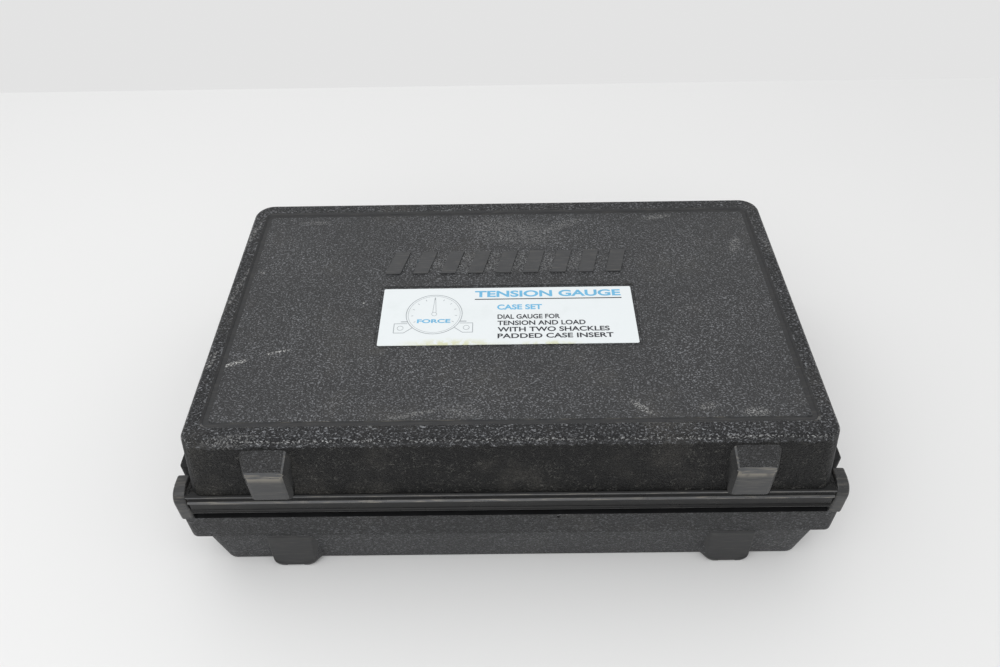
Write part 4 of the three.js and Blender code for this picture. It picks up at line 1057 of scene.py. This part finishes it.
def build_base_foam():
    rect, low, high = foam_outline("base_pad")
    pad = slab(rect, low, high, FOAM_CORNER, 1.2, 1.2)
    settle(pad, "base_foam_pad", "base", "foam", ["base_pad"])
    rect, low, high = foam_outline("base_foam")
    insert = slab(rect, low, high, FOAM_CORNER, 0.8, 0)
    holes = [rod(DIAL_WELL, low - 1, high + 1, DIAL, "z", 96)]
    holes += [slab(well, low - 1, high + 1, corner) for well, corner in FOAM_WELLS]
    insert = worked(cut(insert, *holes), soften(high))
    settle(insert, "base_foam_insert", "base", "foam", ["base_foam"])


def lid_foam_place(x, y, half_x, half_y):
    """A place of a square grid, pulled in to the sheet's rounded corners, and the foam's dip there."""
    edge = FOAM_CORNER
    over = Vector((max(abs(x) - half_x + edge, 0), max(abs(y) - half_y + edge, 0)))
    if over.x and over.y:
        over *= max(over) / over.length
        x = math.copysign(half_x - edge + over.x, x)
        y = math.copysign(half_y - edge + over.y, y)
    peak = math.cos(x * math.pi / PEAK_PITCH) * math.cos(y * math.pi / PEAK_PITCH)
    inside = min(1, (half_x - abs(x)) / FOAM_EDGE, (half_y - abs(y)) / FOAM_EDGE)
    dip = PEAK_DIP * (1 - peak) * inside + 3 * (1 - inside) ** 2
    return x, y, dip + 0.6 + 0.6 * noise.noise(Vector((x, y, 0)) / 23)


def build_lid_foam():
    """A sheet of profiled foam: flat against the lid, with rows of rounded peaks towards the instrument."""
    (_, _, half_x, half_y), low, high = foam_outline("lid_foam")
    across, along = LID_FOAM_GRID
    lower = [lid_foam_place(half_x * (2 * i / across - 1), half_y * (2 * j / along - 1), half_x, half_y)
             for j in range(along + 1) for i in range(across + 1)]
    vertices = [(x, y, low + dip) for x, y, dip in lower] + [(x, y, high) for x, y, _ in lower]
    faces = []
    row, layer = across + 1, len(lower)
    for j in range(along):
        for i in range(across):
            a = j * row + i
            faces.append((a, a + row, a + row + 1, a + 1))
            faces.append((layer + a, layer + a + 1, layer + a + row + 1, layer + a + row))
    rim = list(range(across)) + [j * row + across for j in range(along)]
    rim += [along * row + i for i in range(across, 0, -1)] + [j * row for j in range(along, 0, -1)]
    for here, after in zip(rim, rim[1:] + rim[:1]):
        faces.append((here, after, layer + after, layer + here))
    sheet = worked(mesh_piece("sheet", vertices, faces), merge_close)
    sheet = settle(sheet, "lid_foam_sheet", "lid", "foam", ["lid_foam"], sharp=50)


# ---------- gauge ----------


def bore(radius, low, high, centre, flare=1.0):
    """A cutter for a hole along Z with chamfered mouths."""
    wide = radius + flare + 1
    return lathe([(0, low - 1), (wide, low - 1), (radius, low + flare), (radius, high - flare),
                  (wide, high + 1), (0, high + 1)], centre, steps=64)


def screw_holes(piece, low, high):
    return cut(piece, *[rod(SCREW_HOLE, low, high, (x, BEAM_Y), "z", 24) for x in SCREW_PLACES])


def build_beam():
    low, high = box_mm("deflection_beam")
    lug, bar = 16, 9
    turn = math.degrees(math.asin(bar / lug))
    outline = arc((EYE_X, BEAM_Y), lug, turn - 180, 180 - turn, 28)
    outline += arc((-EYE_X, BEAM_Y), lug, turn, 360 - turn, 28)
    beam = bevelled(prism(outline, low.z, high.z), 1.2, 3, 60)
    beam = cut(beam, *[bore(10, low.z, high.z, (side * EYE_X, BEAM_Y)) for _, side in SIDES])
    beam = screw_holes(beam, low.z + 4, high.z + 1)
    settle(beam, "deflection_beam_turned", "base", "steel", ["deflection_beam"])


def build_housing():
    low, high = box_mm("gauge_housing")
    floor, rim = 37, 60
    cup = raised([(0, 0), (70, 0), (72.6, 0.5), (74.5, 2), (75, 4)], low.z)
    cup += [(75, 44), (74, 44.6), (74, 46), (75, 46.6), (75, rim - 2), (74, rim)]
    cup += [(74, high.z), (71, high.z), (71, floor), (0, floor)]
    housing = screw_holes(lathe(cup, DIAL, steps=128), low.z - 1, floor + 1)
    settle(housing, "gauge_housing_cast", "base", "cast", ["gauge_housing"])


def build_bezel():
    low, high = box_mm("bezel_ring")
    profile = raised([(74.3, 0), (77.2, 0), (78, 0.9)], low.z)
    profile += [(78, 64.5), (77.3, 65), (77.3, 66), (78, 66.5)]
    profile += raised([(78, -3), (77.4, -1.3), (76, -0.3), (75, 0), (70, 0), (68.6, -0.6), (68, -2)], high.z)
    bezel = lathe(profile + [(68, 69.5), (74.3, 69.5)], DIAL, steps=144)
    screws = []
    head = raised([(0, -1), (1.7, -1), (1.7, 0.3), (1.2, 0.7), (0, 0.8)], high.z)
    for angle in (90, 210, 330):
        turn = math.radians(angle)
        x, y = DIAL[0] + 72.6 * math.cos(turn), DIAL[1] + 72.6 * math.sin(turn)
        screw = lathe(head, (x, y), steps=28)
        slot = cuboid((x - 2, y - 0.25, high.z + 0.35), (x + 2, y + 0.25, high.z + 1))
        screws.append(cut(screw, slot))
    settle(bezel, "bezel_ring_turned", "base", "cast", ["bezel_ring"])
    settle(gather("screws", screws), "bezel_screws", "base", "steel")


def build_lens():
    low, high = box_mm("lens")
    profile = raised([(3.6, 0), (70.2, 0), (70.5, 0.3)], low.z)
    profile += raised([(70.5, -0.3), (70.2, 0), (3.6, 0)], high.z)
    settle(lathe(profile, DIAL, steps=128), "lens_clear", "base", "glass", ["lens"])


def dial_point(angle, radius):
    """A place on the dial, with the angle taken anticlockwise from +Y."""
    turn = math.radians(angle)
    return Vector((DIAL[0] - radius * math.sin(turn), DIAL[1] + radius * math.cos(turn)))


def build_dial():
    low, high = box_mm("dial_plate")
    profile = raised([(4, 0), (68.6, 0), (69, 0.4)], low.z) + raised([(69, -0.2), (68.8, 0), (4, 0)], high.z)
    plate = lathe(profile, DIAL, steps=128)
    settle(plate, "dial_plate_printed", "base", "dial", ["dial_plate"])
    z = high.z + PRINT_LIFT
    marks = [circle_line(DIAL, 64.6, z, 0.5)]
    for i in range(101):
        major, middle = i % 10 == 0, i % 5 == 0
        angle = ZERO_ANGLE - SWEEP * i / 100
        inner = 55.5 if major else 58.5 if middle else 60.5
        marks.append(line(dial_point(angle, inner), dial_point(angle, 64.4), z, 1.1 if major else 0.45))
        if major:
            place = dial_point(angle, 47)
            wide = 9 if i == 100 else 2.2 if i == 10 else 4.8
            marks.append(words(str(i // 10), place.x - wide / 2, place.y - 3.5, wide, 7, z, weight=0.01))
    marks.append(words("FORCE", DIAL[0] - 13, DIAL[1] + 20, 26, 5, z))
    marks.append(words("kN", DIAL[0] - 4, DIAL[1] - 31, 8, 5, z))
    settle(gather("marks", marks), "dial_marks", "base", "black")


def hand(length, tail, half, hub, angle, low, high):
    """A tapered hand with a round hub, turned to its rest angle."""
    wide, tip = half * 1.6, 0.5
    outline = [(-wide, -tail), (wide, -tail), (half, 0), (tip, length), (-tip, length), (-half, 0)]
    blade = bevelled(prism(outline, low, high), 0.15, 2, 20)
    centre = lathe([(0, low), (hub, low), (hub, high), (hub - 0.4, high + 0.5), (0, high + 0.5)], steps=48)
    whole = join(blade, centre)
    whole.data.transform(Matrix.Translation((*DIAL, 0)) @ Matrix.Rotation(math.radians(angle), 4, "Z"))
    return whole


def build_hands():
    live = hand(58, 18, 2.6, 6, ZERO_ANGLE, 59, 60)
    settle(live, "live_hand_blade", "live_hand", "black", ["live_pointer"])
    peak = hand(54, 10, 1.8, 4.9, ZERO_ANGLE + 6, 61.5, 62.2)
    settle(peak, "peak_hand_blade", "peak_hand", "red", ["peak_pointer"])


def build_knob():
    """The reset knob: a scalloped grip on a thin shaft."""
    low, high = box_mm("reset_knob")
    steps, flutes, smallest_fluted = 144, 18, 8.5
    rings = []
    for radius, z in [(9.2, 69.8), (9.9, 70.8)] + raised([(9.9, -2), (9.3, -0.7), (8, 0)], high.z):
        points = []
        for i in range(steps):
            turn = 2 * math.pi * i / steps
            size = radius - 0.45 * max(0, math.cos(flutes * turn)) ** 2 * (radius > smallest_fluted)
            points.append((DIAL[0] + size * math.cos(turn), DIAL[1] + size * math.sin(turn), z))
        rings.append(points)
    knob = join(loft("knob", rings), rod(3, low.z, 70.5, DIAL, "z", 32))
    slot = cuboid((DIAL[0] - 0.6, DIAL[1] + 1, high.z - 0.5), (DIAL[0] + 0.6, DIAL[1] + 7, high.z + 1))
    settle(cut(knob, slot), "reset_knob_grip", "peak_hand", "lever", ["reset_knob"])


# ---------- shackles ----------


def set_down(piece, side):
    """Moves a shackle's piece from the middle of its pin to its pocket, turned about for the left one."""
    turn = Matrix.Rotation(0 if side > 0 else math.pi, 4, "Y")
    piece.data.transform(Matrix.Translation((side * SHACKLE_X, SHACKLE_Y, SHACKLE_Z)) @ turn)
    return piece


def shackle_bow(side):
    """A forged bow that swells out from its jaws, with a round eye at each end."""
    outside = SHACKLE_JAW + SHACKLE_EYE_WIDTH
    steps, most_swell = 60, 6
    path = []
    for i in range(steps + 1):
        turn = math.pi * i / steps
        swell = most_swell * math.sin(turn) ** 2
        x = (SHACKLE_JAW + SHACKLE_EYE_WIDTH / 2 + swell) * math.cos(turn)
        path.append((x, SHACKLE_REACH * max(math.sin(turn), 0) ** 0.8, 0))
    bow = tube(path, 5.5)
    for _, edge in SIDES:
        eye = rod(13, *on_side(edge, SHACKLE_JAW, outside), (0, 0), sides=56)
        bow = join(bow, bevelled(eye, 1.4, 3, 50))
    bow = cut(bow, rod(8, -outside - 2, outside + 2, (0, 0), sides=48))
    return set_down(bow, side)


def shackle_pin(side):
    """The pin, with a collar outside one eye and a head with a hole for a bar."""
    outside = SHACKLE_JAW + SHACKLE_EYE_WIDTH
    profile = raised([(0, -2), (6.6, -2), (7.6, -1)], -outside)
    profile += raised([(7.6, 0.3), (11, 0.3), (11.5, 0.8), (11.5, 3.4), (11, 4), (8.5, 4), (8.5, 9),
                       (7.5, 10), (0, 10)], outside)
    pin = cut(lathe(profile, axis="x", steps=56), rod(2.2, -12, 12, (outside + 7, 0), "z", 24))
    return set_down(pin, side)


def build_shackles():
    for word, side in SIDES:
        bow, pin = shackle_bow(side), shackle_pin(side)
        replaced = ["shackle_bow_" + word]
        settle(bow, "shackle_forging_" + word, "base", "shackle", replaced)
        replaced = ["shackle_pin_" + word]
        settle(pin, "shackle_bolt_" + word, "pin_" + word, "steel", replaced)


def carry_over(finish, *names):
    """Gives CAD nodes that stay as they are their finish."""
    for name in names:
        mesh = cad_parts[name].data
        mesh.materials.clear()
        mesh.materials.append(MATERIALS[finish])


build_lid()
build_bars()
build_ring_mark()
build_base()
build_label()
build_handle()
for word, side in SIDES:
    build_latch(word, side)
    build_pin("hinge_pin_" + word, "base")
    build_pin("handle_pin_" + word, "base")
    build_pin("latch_pin_" + word, "lid")
build_base_foam()
build_lid_foam()
build_beam()
build_housing()
build_bezel()
build_lens()
build_dial()
build_hands()
build_knob()
build_shackles()
carry_over("steel", "mounting_plate", "mounting_screw_1", "mounting_screw_2", "sector_pivot", "drive_link")
carry_over("brass", "movement_plate", "sector_gear", "pinion_arbor", "hairspring")

# ---------- stage ----------

CAMERA_PLACE = (-0.83, -417.53, 521.5)
CAMERA_YAW, CAMERA_PITCH, CAMERA_ROLL = -0.665, 45.09, -1.204  # degrees; pitch is downward
CAMERA_LENS = 29.22
LIGHTS = (  # name, place in metres, size, power
    ("overhead", (-0.15, -0.1, 1.6), (1.8, 1.4), 6),
    ("left_back", (-0.8, 0.3, 1.0), (0.8, 0.6), 0.5),
    ("front_fill", (-0.45, -1.25, 1.4), (1.8, 1.0), 8),
)
LIT_PLACE = Vector((0, 0, 0.05))
FLOOR_REACH, FLOOR_BACK = 3.0, 0.56
FLOOR_VALUE = 0.82
WORLD_STRENGTH = 0.77
WHITE = (1.0, 1.0, 1.0, 1.0)


def camera_axes():
    yaw, pitch, roll = (math.radians(a) for a in (CAMERA_YAW, CAMERA_PITCH, CAMERA_ROLL))
    forward = Vector((math.sin(yaw) * math.cos(pitch), math.cos(yaw) * math.cos(pitch), -math.sin(pitch)))
    level = Vector((math.cos(yaw), -math.sin(yaw), 0))
    upright = level.cross(forward)
    right = math.cos(roll) * level + math.sin(roll) * upright
    up = -math.sin(roll) * level + math.cos(roll) * upright
    return right, up, -forward


def add_camera():
    data = bpy.data.cameras.new("camera")
    data.lens = CAMERA_LENS
    data.sensor_width = 36
    data.clip_start = 0.02
    camera = bpy.data.objects.new("camera", data)
    turn = Matrix(camera_axes()).transposed().to_4x4()
    camera.matrix_world = Matrix.Translation(Vector(CAMERA_PLACE) * MM) @ turn
    scene.collection.objects.link(camera)
    scene.camera = camera


def add_light(name, place, size, power):
    data = bpy.data.lights.new(name, "AREA")
    data.shape = "RECTANGLE"
    data.size, data.size_y = size
    data.energy = power
    lamp = bpy.data.objects.new(name, data)
    lamp.location = place
    lamp.rotation_euler = (LIT_PLACE - Vector(place)).to_track_quat("-Z", "Y").to_euler()
    scene.collection.objects.link(lamp)


def pale(name, value):
    n = Nodes(name)
    tone = n.mix(n.noise(330, 2.0), grey(value * 0.98, (1, 1, 1)), grey(value, (1, 1.004, 1.0)))
    return n.finish(tone, 0.55, specular=0.3)


def add_floor():
    left, right, front = -FLOOR_REACH, FLOOR_REACH, -FLOOR_REACH
    corners = [(left, front, 0), (right, front, 0), (right, FLOOR_BACK, 0), (left, FLOOR_BACK, 0)]
    floor = mesh_piece("floor", corners, [(0, 1, 2, 3)])
    floor.data.materials.append(pale("floor_pale", FLOOR_VALUE))


def add_world():
    world = bpy.data.worlds.new("soft_room")
    world.use_nodes = True
    background = world.node_tree.nodes["Background"]
    background.inputs["Color"].default_value = WHITE
    background.inputs["Strength"].default_value = WORLD_STRENGTH
    scene.world = world


add_camera()
for light in LIGHTS:
    add_light(*light)
add_floor()
add_world()
scene.view_settings.view_transform = "Standard"
